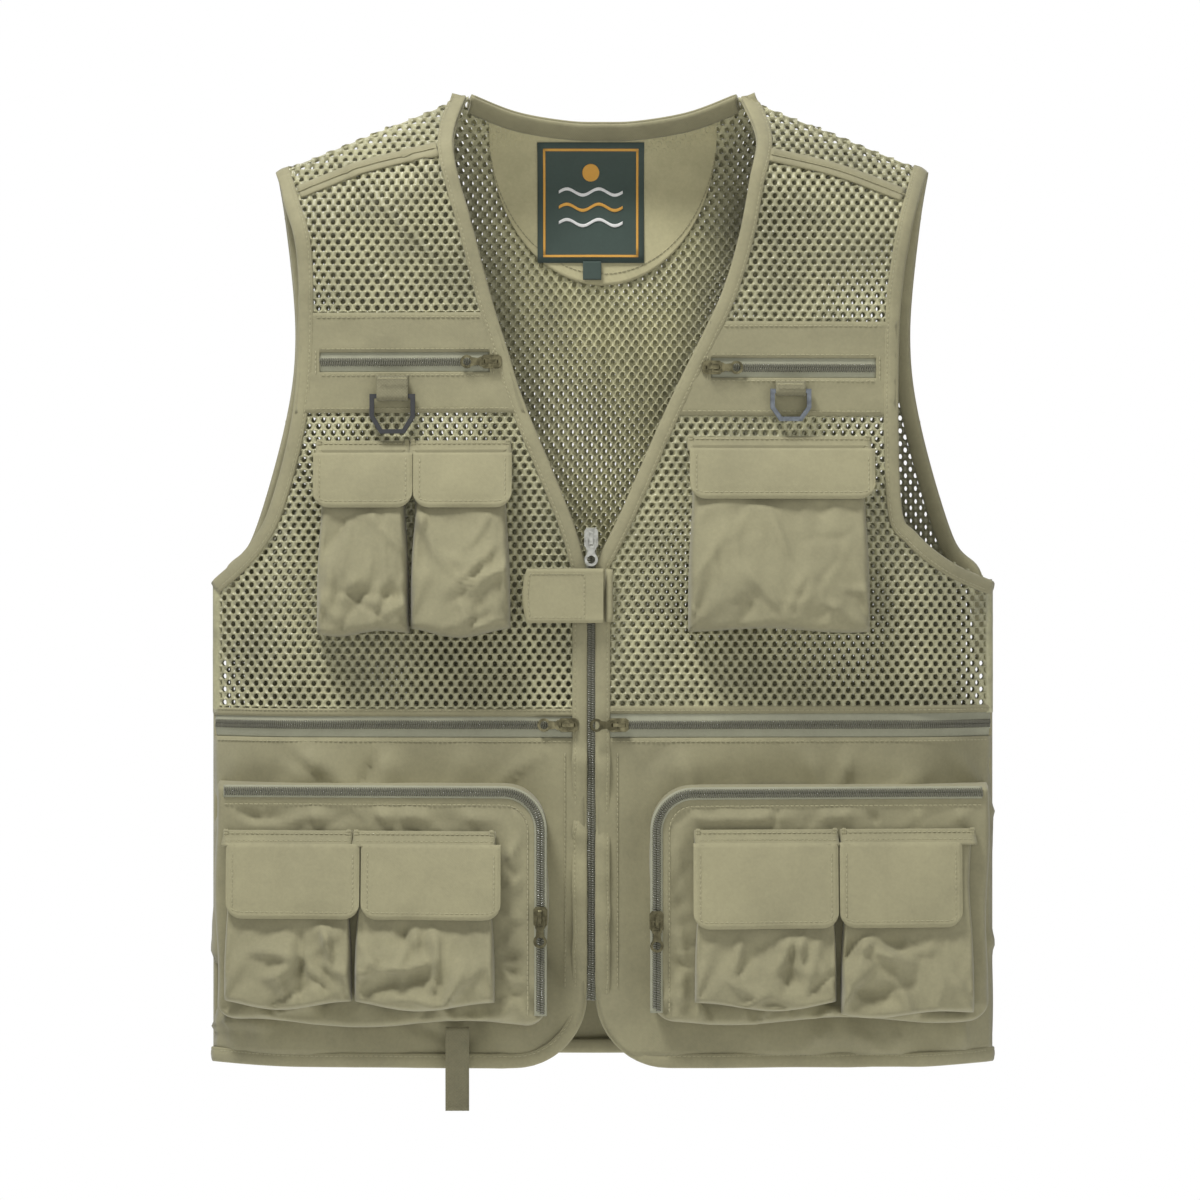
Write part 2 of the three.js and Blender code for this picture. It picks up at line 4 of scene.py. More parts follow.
import bmesh
import bpy
import numpy as np
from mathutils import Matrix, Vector


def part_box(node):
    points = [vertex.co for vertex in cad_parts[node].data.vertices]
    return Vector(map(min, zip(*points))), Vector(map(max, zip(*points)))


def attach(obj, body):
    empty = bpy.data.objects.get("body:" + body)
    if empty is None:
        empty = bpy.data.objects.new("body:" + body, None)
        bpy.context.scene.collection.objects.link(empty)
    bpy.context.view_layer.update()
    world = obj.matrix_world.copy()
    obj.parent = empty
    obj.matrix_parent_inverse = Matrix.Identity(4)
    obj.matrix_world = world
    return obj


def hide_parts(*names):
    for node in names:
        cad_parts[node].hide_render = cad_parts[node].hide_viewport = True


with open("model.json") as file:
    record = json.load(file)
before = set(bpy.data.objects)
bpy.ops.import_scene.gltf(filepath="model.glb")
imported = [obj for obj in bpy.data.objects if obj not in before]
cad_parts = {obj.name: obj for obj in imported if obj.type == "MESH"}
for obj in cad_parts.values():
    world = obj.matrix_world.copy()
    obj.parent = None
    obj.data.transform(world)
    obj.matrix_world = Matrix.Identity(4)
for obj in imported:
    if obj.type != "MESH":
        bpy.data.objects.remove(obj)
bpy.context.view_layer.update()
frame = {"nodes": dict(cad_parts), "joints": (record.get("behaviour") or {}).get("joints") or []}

bl_info = {
    "name": "Fishing Vest",
    "version": (1, 0, 0),
    "blender": (4, 5, 0),
    "location": "3D View > Sidebar > Vest",
    "description": "Dresses the packed fishing vest in net, cloth, zips, pockets and trim",
    "category": "Add Mesh",
}

# Lengths are in millimetres until a mesh is made. The vest hangs upright and faces -Y.
MM = 0.001
BODY = "vest_body"


def box(node):
    """A node's lowest and highest corners, in millimetres."""
    low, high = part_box(node)
    return np.array(low) / MM, np.array(high) / MM


def pivot(body):
    """Where a body's joint turns, in millimetres."""
    joint = next(j for j in frame["joints"] if j["child"] == body)
    return np.array(joint["pos_m"]) / MM


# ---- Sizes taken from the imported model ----
HALF = box("mid_mesh_left")[1][0] + 1.0
HEM = box("back_lower")[0][2]
WAIST = (box("waist_zip_right")[1][2], box("waist_zip_right")[0][2])
ZIP_X = (box("center_zip")[0][0] + box("center_zip")[1][0]) / 2
NECK_HALF, NECK_RISE, SHOULDER_FALL = 92.0, 6.0, 0.403
FRONT_DEPTH, BACK_DEPTH, FRONT_SLOPE = 55.0, 58.0, 0.06
CARGO_DEPTH, CARGO_SLOPE = 36.0, 0.12
SIDE_ROUND, BACK_FLAT, ROLL = 65.0, 120.0, 60.0
PLACKET = 3.2
CORNER = 50.0

SIDES = {
    "right": {
        "sign": -1,
        "neck": [(-95, 4.8), (-103, -33), (-88, -94), (-76, -139), (-66, -171), (-54, -209), (-22, -287)],
        "v_end": -325,
        "armhole": [
            (-226, -48), (-218, -71), (-208, -112), (-210, -205), (-226, -276), (-243, -307), (-270, -331),
        ],
        "yoke": [(-209, -63), (-165, -46), (-113, -34)],
    },
    "left": {
        "sign": 1,
        "neck": [
            (96, 4.4), (106, -26), (101, -54), (94, -92), (83, -130), (70, -159), (44, -212), (12, -285),
        ],
        "v_end": -318,
        "armhole": [(224, -47), (210, -92), (202, -159), (203, -274), (214, -298), (239, -318), (270, -331)],
        "yoke": [(114, -38), (160, -48), (206, -65)],
    },
}
BACK_NECK = [(-91, 5.6), (-60, -5), (-25, -10.4), (0, -11.2), (25, -10.4), (60, -5), (92, 5.6)]
BACK_ARMHOLE = [(225, -47.2), (220, -84), (214, -160), (221, -221), (243, -300), (262, -326), (269, -384)]


# ---- Curves and the body's surface ----
def smooth(points, pieces):
    """A curve through a few points."""
    points = np.array(points, float)
    at = np.linspace(0, len(points) - 1, pieces + 1)
    i = np.minimum(at.astype(int), len(points) - 2)
    t = (at - i)[:, None]
    p0, p1 = points[np.maximum(i - 1, 0)], points[i]
    p2, p3 = points[i + 1], points[np.minimum(i + 2, len(points) - 1)]
    m1, m2 = (p2 - p0) / 2, (p3 - p1) / 2
    return ((2 * p1 - 2 * p2 + m1 + m2) * t ** 3 + (-3 * p1 + 3 * p2 - 2 * m1 - m2) * t ** 2 + m1 * t + p1)


def moved(line, distance):
    """The line moved sideways, to its left as it is walked."""
    step = np.gradient(line, axis=0)
    step /= np.linalg.norm(step, axis=1)[:, None] + 1e-9
    return line + np.stack([-step[:, 1], step[:, 0]], 1) * distance


def even(line, pitch):
    """The line with points at an even distance."""
    run = np.r_[0, np.cumsum(np.linalg.norm(np.diff(line, axis=0), axis=1))]
    at = np.linspace(0, run[-1], max(2, int(run[-1] / pitch) + 1))
    return np.stack([np.interp(at, run, line[:, k]) for k in range(line.shape[1])], 1)


def x_at(line, z):
    """Where a falling line passes a height."""
    order = np.argsort(line[:, 1])
    return np.interp(z, line[order, 1], line[order, 0])


def free_edge(side):
    """A front's free edge: neck, V, zip, rounded corner and hem."""
    sign = side["sign"]
    x = ZIP_X + sign * PLACKET
    v_line = smooth(side["neck"] + [(x, side["v_end"])], 60)
    turn = np.radians(np.linspace(0, 90, 12))
    corner = np.stack([x + sign * CORNER * (1 - np.cos(turn)), HEM + CORNER * (1 - np.sin(turn))], 1)
    return even(np.vstack([v_line, corner, [[sign * (HALF - 1), HEM]]]), 3.0)


def armhole(side):
    """A front's armhole line."""
    return even(smooth(side["armhole"], 60), 3.0)


def ridge(x):
    """The height of the shoulder line."""
    return NECK_RISE - SHOULDER_FALL * np.maximum(0, np.abs(x) - NECK_HALF)


def rolled(x, z):
    """How far the body has rounded out below the shoulder line, from 0 to 1."""
    return np.sin(math.pi / 2 * np.clip((ridge(x) - z) / ROLL, 0, 1))


def rounded_off(x, flat):
    """How the body closes towards the side seams, from 1 to 0."""
    return np.cos(math.pi / 2 * np.clip((np.abs(x) - flat) / (HALF - flat), 0, 1))


def front(x, z):
    """How far the front stands out from the plane of the seams."""
    return (FRONT_DEPTH - FRONT_SLOPE * np.abs(x - ZIP_X)) * rounded_off(x, HALF - SIDE_ROUND) * rolled(x, z)


def back(x, z):
    """How far the back stands out from the plane of the seams."""
    return BACK_DEPTH * rounded_off(x, BACK_FLAT) * rolled(x, z)


def front_plane(x, z=0):
    """The flat plane that the chest pockets are sewn to."""
    return FRONT_DEPTH - FRONT_SLOPE * np.abs(x - ZIP_X) + 0 * z


def cargo_plane(x, z=0):
    """The flat lid of a cargo pocket."""
    return FRONT_DEPTH + CARGO_DEPTH - CARGO_SLOPE * np.abs(x - ZIP_X) + 0 * z


def ripples(x, z, seed, length, count=7, along=None, spread=0.5):
    """Smooth noise between about -1 and 1; along is the direction that its waves cross, in degrees."""
    rng = np.random.default_rng(seed)
    total = np.zeros(np.broadcast(x, z).shape)
    for _ in range(count):
        angle = rng.uniform(0, math.pi) if along is None else math.radians(along) + rng.normal(0, spread)
        size = length * rng.uniform(0.6, 1.6)
        phase = rng.uniform(0, 2 * math.pi)
        total += np.sin(2 * math.pi * (x * math.cos(angle) + z * math.sin(angle)) / size + phase)
    return total / math.sqrt(count)


def creases(x, z, seed, length, sharp=3.0, along=None, spread=0.5):
    """Thin raised folds, from 0 to 1, that come and go."""
    warp = ripples(x, z, seed + 50, length * 2.2) * length * 0.18
    line = np.abs(ripples(x + warp, z - warp, seed, length, 5, along, spread))
    fade = 0.5 + 0.5 * ripples(x, z, seed + 90, length * 2.5, 5)
    return np.exp(-(line * sharp) ** 2) * np.clip(fade, 0, 1)


def tucks(x, z, area, seed, count, length, width, height, along=90.0, spread=0.5):
    """Separate folds with a steep and a slow side; area is (x0, x1, z0, z1) and along is in degrees."""
    rng = np.random.default_rng(seed)
    total = np.zeros(np.broadcast(x, z).shape)
    for _ in range(count):
        cx, cz = rng.uniform(area[0], area[1]), rng.uniform(area[2], area[3])
        angle = math.radians(along) + rng.normal(0, spread)
        half, wide = length * rng.uniform(0.3, 0.7), width * rng.uniform(0.6, 1.5)
        tall, bow = height * rng.uniform(0.5, 1.2) * rng.choice([-1, 1, 1]), rng.uniform(-0.25, 0.25)
        run = (x - cx) * math.cos(angle) + (z - cz) * math.sin(angle)
        off = (z - cz) * math.cos(angle) - (x - cx) * math.sin(angle) + bow * run ** 2 / half
        wide = wide * (1.0 + 0.6 * run / half)
        wide = np.maximum(wide, width * 0.3)
        steep = np.exp(-np.abs(off / wide) ** 1.6) * (1 + 0.8 * np.tanh(2.5 * off / wide))
        total += tall * steep * smoothstep((half - np.abs(run)) / (half * 0.7))
    return total


def smoothstep(t):
    """An even start and stop between 0 and 1."""
    t = np.clip(t, 0, 1)
    return t * t * (3 - 2 * t)


# ---- Meshes ----
def finish(name, verts, faces, material, body=BODY, replaced=()):
    """A finished piece that rides on a body; verts are in millimetres."""
    mesh = bpy.data.meshes.new(name)
    faces = np.asarray(faces, np.int32)
    verts = np.asarray(verts, np.float64) * MM
    mesh.vertices.add(len(verts))
    mesh.vertices.foreach_set("co", verts.ravel())
    corners = faces.shape[1]
    mesh.loops.add(faces.size)
    mesh.loops.foreach_set("vertex_index", faces.ravel())
    mesh.polygons.add(len(faces))
    mesh.polygons.foreach_set("loop_start", np.arange(0, faces.size, corners, dtype=np.int32))
    mesh.polygons.foreach_set("use_smooth", np.full(len(faces), True))
    mesh.update(calc_edges=True)
    mesh.validate()
    mesh.materials.append(material)
    piece = bpy.data.objects.new(name, mesh)
    bpy.context.scene.collection.objects.link(piece)
    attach(piece, body)
    if replaced:
        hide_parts(*replaced)
    return piece


def merged(parts):
    """Several (verts, quads) as one."""
    verts, faces, count = [], [], 0
    for v, f in parts:
        verts.append(v)
        faces.append(f + count)
        count += len(v)
    return np.vstack(verts), np.vstack(faces)


def grid_quads(rows, cols):
    """The faces of a grid of points."""
    i = np.arange((rows - 1) * (cols - 1))
    a = (i // (cols - 1)) * cols + i % (cols - 1)
    return np.stack([a, a + cols, a + cols + 1, a + 1], 1)


def tube_quads(rings, sides):
    """The faces of a tube whose points run round one ring after another."""
    i, j = np.meshgrid(np.arange(rings - 1), np.arange(sides), indexing="ij")
    a, b = (i * sides + j).ravel(), (i * sides + (j + 1) % sides).ravel()
    return np.stack([a, b, b + sides, a + sides], 1)


def cloth_grid(start, across, down):
    """Two grids over a piece: the place from side to side, and the distance from its top."""
    return (start + across)[None, :] + 0 * down[:, None], down[:, None] + 0 * across[None, :]


def slab(outer, inner):
    """A closed body between two grids; on a front, columns run to +X and rows run down."""
    rows, cols, _ = outer.shape
    count = rows * cols
    ids = np.arange(count).reshape(rows, cols)
    rim = np.r_[ids[0, :-1], ids[:-1, -1], ids[-1, :0:-1], ids[:0:-1, 0]]
    after = np.roll(rim, -1)
    quads = grid_quads(rows, cols)
    walls = np.stack([rim, after, after + count, rim + count], 1)
    verts = np.vstack([outer.reshape(-1, 3), inner.reshape(-1, 3)])
    return verts, np.vstack([quads, quads[:, ::-1] + count, walls])


# The least part of its rectangle that a piece of net is taken to fill.
LEAST_SHARE = 0.31


def normal_of(x, z, depth, sign):
    """The outward direction of a surface whose depth is a function of x and z; sign is -1 on the front."""
    dx = (depth(x + 0.5, z) - depth(x - 0.5, z))
    dz = (depth(x, z + 0.5) - depth(x, z - 0.5))
    n = np.stack([-dx, np.full(np.shape(dx), float(sign)), -dz], -1)
    return n / np.linalg.norm(n, axis=-1)[..., None]


def on(x, z, depth, lift=0.0, sign=-1):
    """Points at a height over the surface."""
    x, z = np.broadcast_arrays(np.asarray(x, float), np.asarray(z, float))
    place = np.stack([x, sign * (depth(x, z) + 0 * x), z], -1)
    return place + normal_of(x, z, depth, sign) * np.asarray(lift, float)[..., None]


# Lines of stitches and runs of zip teeth are noted here as pieces are made, and sewn at the end.
SEWN = {}
TOOTH_PITCH, COIL_HALF = 1.55, 1.25


def note(kind, body, points, normals, pitch):
    """Keeps the places of one run of stitches or teeth, with the way each faces."""
    line = even(np.hstack([points, normals]), 0.5)
    run = np.r_[0, np.cumsum(np.linalg.norm(np.diff(line[:, :3], axis=0), axis=1))]
    if run[-1] < pitch:
        return
    at = np.arange(pitch / 2, run[-1], pitch)
    rows = np.stack([np.interp(at, run, line[:, k]) for k in range(6)], 1)
    ahead = np.stack([np.interp(at + 0.3, run, line[:, k]) for k in range(3)], 1)
    behind = np.stack([np.interp(at - 0.3, run, line[:, k]) for k in range(3)], 1)
    SEWN.setdefault((kind, body), []).append(np.hstack([rows, ahead - behind]))


def sew(x, z, depth, lift, sign=-1, pitch=3.4):
    """A line of stitches on a surface."""
    line = even(np.stack(np.broadcast_arrays(np.asarray(x, float), np.asarray(z, float)), 1), 1.5)
    x, z = line[:, 0], line[:, 1]
    note("stitch", BODY, on(x, z, depth, lift, sign), normal_of(x, z, depth, sign), pitch)


def teeth(x, z, depth, lift):
    """A zip's coil: two rows of loops that close on each other."""
    line = even(np.stack([x, z], 1), 1.0)
    for k, offset in enumerate((-COIL_HALF, COIL_HALF)):
        path = moved(line, offset)
        points = on(path[:, 0], path[:, 1], depth, lift)
        normals = normal_of(path[:, 0], path[:, 1], depth, -1)
        skip = 1 + 2 * k
        note("tooth", BODY, points[skip:], normals[skip:], TOOTH_PITCH)


def surface_sweep(path, inward, profile, depth, sign):
    """A closed strip along a path that hugs a surface; profile is a loop of (inward, height)."""
    step = np.gradient(path, axis=0)
    step /= np.linalg.norm(step, axis=1)[:, None] + 1e-9
    side = np.stack([-step[:, 1], step[:, 0]], 1) * inward
    x = path[:, :1] + side[:, :1] * profile[None, :, 0]
    z = path[:, 1:] + side[:, 1:] * profile[None, :, 0]
    points = on(x, z, depth, profile[None, :, 1] + 0 * x, sign)
    n, m, _ = points.shape
    k = np.arange(1, m - 2, 2) if m % 2 == 0 else np.arange(1, m - 1, 2)
    cap = np.stack([0 * k, k, k + 1, np.minimum(k + 2, m - 1)], 1)
    faces = [tube_quads(n, m), cap, cap + n * m - m]
    return points.reshape(-1, 3), np.vstack(faces)


BINDING_PROFILE = np.array([
    (4.8, -0.2), (0.6, -0.2), (-0.5, 0.3), (-0.6, 1.2), (-0.1, 2.0), (0.9, 2.5), (2.4, 2.85), (4.6, 3.3),
    (6.9, 3.15), (7.5, 2.85), (8.2, 3.0), (9.2, 2.8), (9.6, 2.1), (9.6, 0.2),
])


def closed(name, verts, quads, material, body=BODY, replaced=()):
    """A closed body with its doubles merged and its faces turned out."""
    piece = finish(name, verts, quads, material, body, replaced)
    held = bmesh.new()
    held.from_mesh(piece.data)
    bmesh.ops.remove_doubles(held, verts=held.verts, dist=1e-6)
    bmesh.ops.dissolve_degenerate(held, edges=held.edges, dist=1e-7)
    bmesh.ops.recalc_face_normals(held, faces=held.faces)
    held.to_mesh(piece.data)
    held.free()
    piece.data.shade_smooth()
    return piece


def lines(stops, pitch, soft=()):
    """Grid lines between stops, with a close pair at each soft stop so that a step there stays sharp."""
    out = []
    for a, b in zip(stops[:-1], stops[1:]):
        n = max(1, int(round(abs(b - a) / pitch)))
        out.append(np.linspace(a, b, n, endpoint=False))
    out = np.r_[np.concatenate(out), stops[-1]]
    for s in soft:
        out = np.r_[out[np.abs(out - s) > 0.26], s - 0.25, s + 0.25]
    return np.unique(np.round(out, 4))


def edge_lines(width, wall, pitch):
    """Distances across a padded piece, closer together where its walls rise."""
    near = np.array([0, 0.02, 0.07, 0.16, 0.3, 0.5, 0.75, 1.0]) * wall
    n = max(2, int((width - 2 * wall) / pitch))
    return np.r_[near, np.linspace(wall, width - wall, n + 1)[1:-1], width - near[::-1]]


def rise(distance, wall):
    """How high a padded piece stands at a distance from its edge, from 0 to 1."""
    t = np.clip(distance / wall, 0, 1)
    return (1 - (1 - t) ** 3) ** (1 / 2.4)


# ---- Folds of the whole front ----
def calm(z, low, high, run=16.0):
    """0 inside a strip of heights and 1 well away from it."""
    return smoothstep((np.maximum(low - z, z - high)) / run)


def drape(x, z):
    """How far the hanging net stands proud of the body."""
    quiet = calm(z, -219, -143) * calm(z, -440, -414) * calm(z, -400, -226, 60)
    folds = ripples(x, z, 4, 70, 6, along=70, spread=0.5) * 1.3 + creases(x, z, 9, 60, 2.6, along=55) * 2.6
    folds = folds + tucks(x, z, (-HALF, HALF, WAIST[0], 0), 19, 26, 80, 8.0, 2.4, 60, 0.9)
    return folds * np.clip(quiet + 0.25 * calm(z, -219, -143) * calm(z, -440, -414), 0, 1)


def worn_front(x, z):
    """The front with its folds."""
    return front(x, z) + drape(x, z)


def worn_back(x, z):
    """The back with its folds."""
    folds = ripples(x, z, 12, 120, 6, along=20, spread=0.5) * 1.1
    return back(x, z) + folds * smoothstep((ridge(x) - z) / ROLL)


# The two faces of the net, each with the way it looks along Y.
FACES = ((worn_front, -1), (worn_back, 1))


# ---- Materials ----
CLOTH_BUMP, METAL_BUMP = 0.0004, 0.0002


def socket(group, name, kind, default=None, way="INPUT"):
    """A node group's input or output."""
    made = group.interface.new_socket(name=name, in_out=way, socket_type=kind)
    if default is not None:
        made.default_value = default
    return made


class Tree:
    """A short way to build a node tree."""

    def __init__(self, tree):
        self.tree = tree

    def node(self, kind, links=(), **values):
        made = self.tree.nodes.new(kind)
        for name, value in values.items():
            setattr(made, name, value)
        self.feed(made, dict(links))
        return made

    def feed(self, made, links):
        """Gives a node's inputs their links or plain values."""
        for key, value in links.items():
            if isinstance(value, bpy.types.NodeSocket):
                self.tree.links.new(value, made.inputs[key])
            else:
                made.inputs[key].default_value = value

    def noise(self, coords, scale, detail=4.0, rough=0.6):
        links = {"Vector": coords, "Scale": scale, "Detail": detail, "Roughness": rough}
        return self.node("ShaderNodeTexNoise", links)

    def math(self, operation, a, b=0.0):
        return self.node("ShaderNodeMath", {0: a, 1: b}, operation=operation).outputs[0]

    def spread(self, value, low, high, a=0.0, b=1.0):
        links = {"Value": value, "From Min": low, "From Max": high, "To Min": a, "To Max": b}
        return self.node("ShaderNodeMapRange", links).outputs["Result"]

    def bump(self, height, strength, distance):
        links = {"Height": height, "Strength": strength, "Distance": distance}
        return self.node("ShaderNodeBump", links).outputs[0]

    def mix(self, factor, a, b, blend="MIX"):
        made = self.node("ShaderNodeMix", data_type="RGBA", blend_type=blend)
        self.feed(made, {0: factor, 6: a, 7: b})
        return made.outputs[2]


def weave_group():
    """Fine woven cloth: slubs, threads both ways, and slow fading."""
    group = bpy.data.node_groups.new("Weave", "ShaderNodeTree")
    socket(group, "Color", "NodeSocketColor", (0.3, 0.27, 0.16, 1))
    socket(group, "Fading", "NodeSocketFloat", 0.12)
    socket(group, "Thread", "NodeSocketFloat", 0.0011)
    socket(group, "Color", "NodeSocketColor", way="OUTPUT")
    socket(group, "Height", "NodeSocketFloat", way="OUTPUT")
    socket(group, "Roughness", "NodeSocketFloat", way="OUTPUT")
    t = Tree(group)
    given = t.node("NodeGroupInput")
    coords = t.node("ShaderNodeTexCoord").outputs["Object"]
    parts = t.node("ShaderNodeSeparateXYZ", {"Vector": coords})
    rate = t.math("DIVIDE", 2 * math.pi, given.outputs["Thread"])
    warp = t.math("SINE", t.math("MULTIPLY", parts.outputs["X"], rate))
    weft = t.math("SINE", t.math("MULTIPLY", parts.outputs["Z"], rate))
    cross = t.math("MULTIPLY", warp, weft)
    slub = t.noise(coords, 420.0, 3.0).outputs["Fac"]
    slow = t.noise(coords, 16.0, 5.0, 0.55).outputs["Fac"]
    blotch = t.noise(coords, 70.0, 4.0, 0.7).outputs["Fac"]
    shade = t.math("ADD", t.spread(slow, 0.3, 0.7, -1.0, 1.0), t.spread(blotch, 0.3, 0.7, -0.6, 0.6))
    shade = t.math("ADD", shade, t.spread(slub, 0.3, 0.7, -0.5, 0.5))
    gain = t.math("ADD", t.math("MULTIPLY", shade, given.outputs["Fading"]), 1.0)
    gain = t.math("ADD", gain, t.math("MULTIPLY", cross, 0.03))
    grey = t.node("ShaderNodeCombineXYZ", {"X": gain, "Y": gain, "Z": gain}).outputs[0]
    color = t.mix(1.0, given.outputs["Color"], grey, "MULTIPLY")
    height = t.math("ADD", t.math("MULTIPLY", cross, 0.35), slub)
    rough = t.spread(slow, 0.2, 0.8, 0.72, 0.9)
    t.node("NodeGroupOutput", {"Color": color, "Height": height, "Roughness": rough})
    return group


def wear_group():
    """Small scratches and tarnish for metal and moulded parts."""
    group = bpy.data.node_groups.new("Wear", "ShaderNodeTree")
    socket(group, "Color", "NodeSocketColor", (0.5, 0.5, 0.5, 1))
    socket(group, "Tarnish", "NodeSocketColor", (0.2, 0.2, 0.2, 1))
    socket(group, "Amount", "NodeSocketFloat", 0.4)
    socket(group, "Gloss", "NodeSocketFloat", 0.3)
    socket(group, "Color", "NodeSocketColor", way="OUTPUT")
    socket(group, "Height", "NodeSocketFloat", way="OUTPUT")
    socket(group, "Roughness", "NodeSocketFloat", way="OUTPUT")
    t = Tree(group)
    given = t.node("NodeGroupInput")
    coords = t.node("ShaderNodeTexCoord").outputs["Object"]
    stretched = t.node("ShaderNodeMapping", {"Vector": coords, "Scale": (1.0, 1.0, 0.15)}).outputs[0]
    brushed = t.noise(stretched, 2400.0, 2.0).outputs["Fac"]
    cloud = t.noise(coords, 260.0, 4.0).outputs["Fac"]
    mask = t.math("MULTIPLY", t.spread(cloud, 0.35, 0.7), given.outputs["Amount"])
    color = t.mix(mask, given.outputs["Color"], given.outputs["Tarnish"])
    rough = t.math("ADD", given.outputs["Gloss"], t.math("MULTIPLY", t.math("ADD", mask, brushed), 0.18))
    height = t.math("ADD", brushed, cloud)
    t.node("NodeGroupOutput", {"Color": color, "Height": height, "Roughness": rough})
    return group


def group_named(name, maker):
    """A node group, made the first time it is asked for."""
    return bpy.data.node_groups.get(name) or maker()


def linear(color):
    """A screen colour as the renderer's linear colour."""
    out = [c / 12.92 if c <= 0.04045 else ((c + 0.055) / 1.055) ** 2.4 for c in color[:3]]
    return (*out, 1.0)


def cloth(name, color, fading=0.08, thread=0.0011, bump=0.35, sheen=0.15, gloss=1.0):
    """A woven cloth, with loose ends that catch the light."""
    found = bpy.data.materials.get(name)
    if found:
        return found
    material = bpy.data.materials.new(name)
    material.use_nodes = True
    t = Tree(material.node_tree)
    t.tree.nodes.clear()
    look = t.node("ShaderNodeGroup", node_tree=group_named("Weave", weave_group))
    look.inputs["Color"].default_value = linear(color)
    look.inputs["Fading"].default_value = fading
    look.inputs["Thread"].default_value = thread
    bumped = t.bump(look.outputs["Height"], bump, CLOTH_BUMP)
    shader = t.node("ShaderNodeBsdfPrincipled", {
        "Base Color": look.outputs["Color"],
        "Roughness": t.math("MULTIPLY", look.outputs["Roughness"], gloss),
        "Normal": bumped,
        "Sheen Weight": sheen,
        "Sheen Roughness": 0.5,
        "Specular IOR Level": 0.3 if gloss > 0.9 else 0.75,
    })
    t.node("ShaderNodeOutputMaterial", {"Surface": shader.outputs[0]})
    return material


def lining_painted_light_and_shade(name, color):
    """The net's lining, with painted light and shade: painted paler where the open neck shows it, and painted
    darker where the fronts cover it.
    """
    found = bpy.data.materials.get(name)
    if found:
        return found
    material = cloth(name, color, 0.2, 0.0014, 0.5, 0.1, 0.5)
    t = Tree(material.node_tree)
    shader = next(n for n in t.tree.nodes if n.type == "BSDF_PRINCIPLED")
    woven = shader.inputs["Base Color"].links[0].from_socket
    coords = t.node("ShaderNodeTexCoord").outputs["Object"]
    place = t.node("ShaderNodeSeparateXYZ", {"Vector": coords}).outputs
    half_neck = t.math("MULTIPLY", t.math("ADD", place["Z"], 0.37), 0.24)
    past = t.math("SUBTRACT", t.math("ABSOLUTE", place["X"]), half_neck)
    # Mask for the painted shade: 0 in the open neck, 1 where the fronts cover the lining.
    painted_shade_mask = t.spread(past, -0.004, 0.026)
    # Painted light in the open neck (pale) and painted shade under the fronts, mixed by the mask.
    pale = t.mix(1.0, woven, (1.38, 1.38, 1.42, 1.0), "MULTIPLY")
    painted_shade = t.mix(1.0, woven, (0.66, 0.66, 0.68, 1.0), "MULTIPLY")
    t.tree.links.new(t.mix(painted_shade_mask, pale, painted_shade), shader.inputs["Base Color"])
    return material


def hard(name, color, tarnish, metallic, gloss, amount=0.4, bump=0.15, coat=0.0):
    """Metal or moulded plastic with light wear."""
    found = bpy.data.materials.get(name)
    if found:
        return found
    material = bpy.data.materials.new(name)
    material.use_nodes = True
    t = Tree(material.node_tree)
    t.tree.nodes.clear()
    look = t.node("ShaderNodeGroup", node_tree=group_named("Wear", wear_group))
    look.inputs["Color"].default_value = linear(color)
    look.inputs["Tarnish"].default_value = linear(tarnish)
    look.inputs["Amount"].default_value = amount
    look.inputs["Gloss"].default_value = gloss
    bumped = t.bump(look.outputs["Height"], bump, METAL_BUMP)
    shader = t.node("ShaderNodeBsdfPrincipled", {
        "Base Color": look.outputs["Color"],
        "Roughness": look.outputs["Roughness"],
        "Normal": bumped,
        "Metallic": metallic,
        "Coat Weight": coat,
    })
    t.node("ShaderNodeOutputMaterial", {"Surface": shader.outputs[0]})
    return material


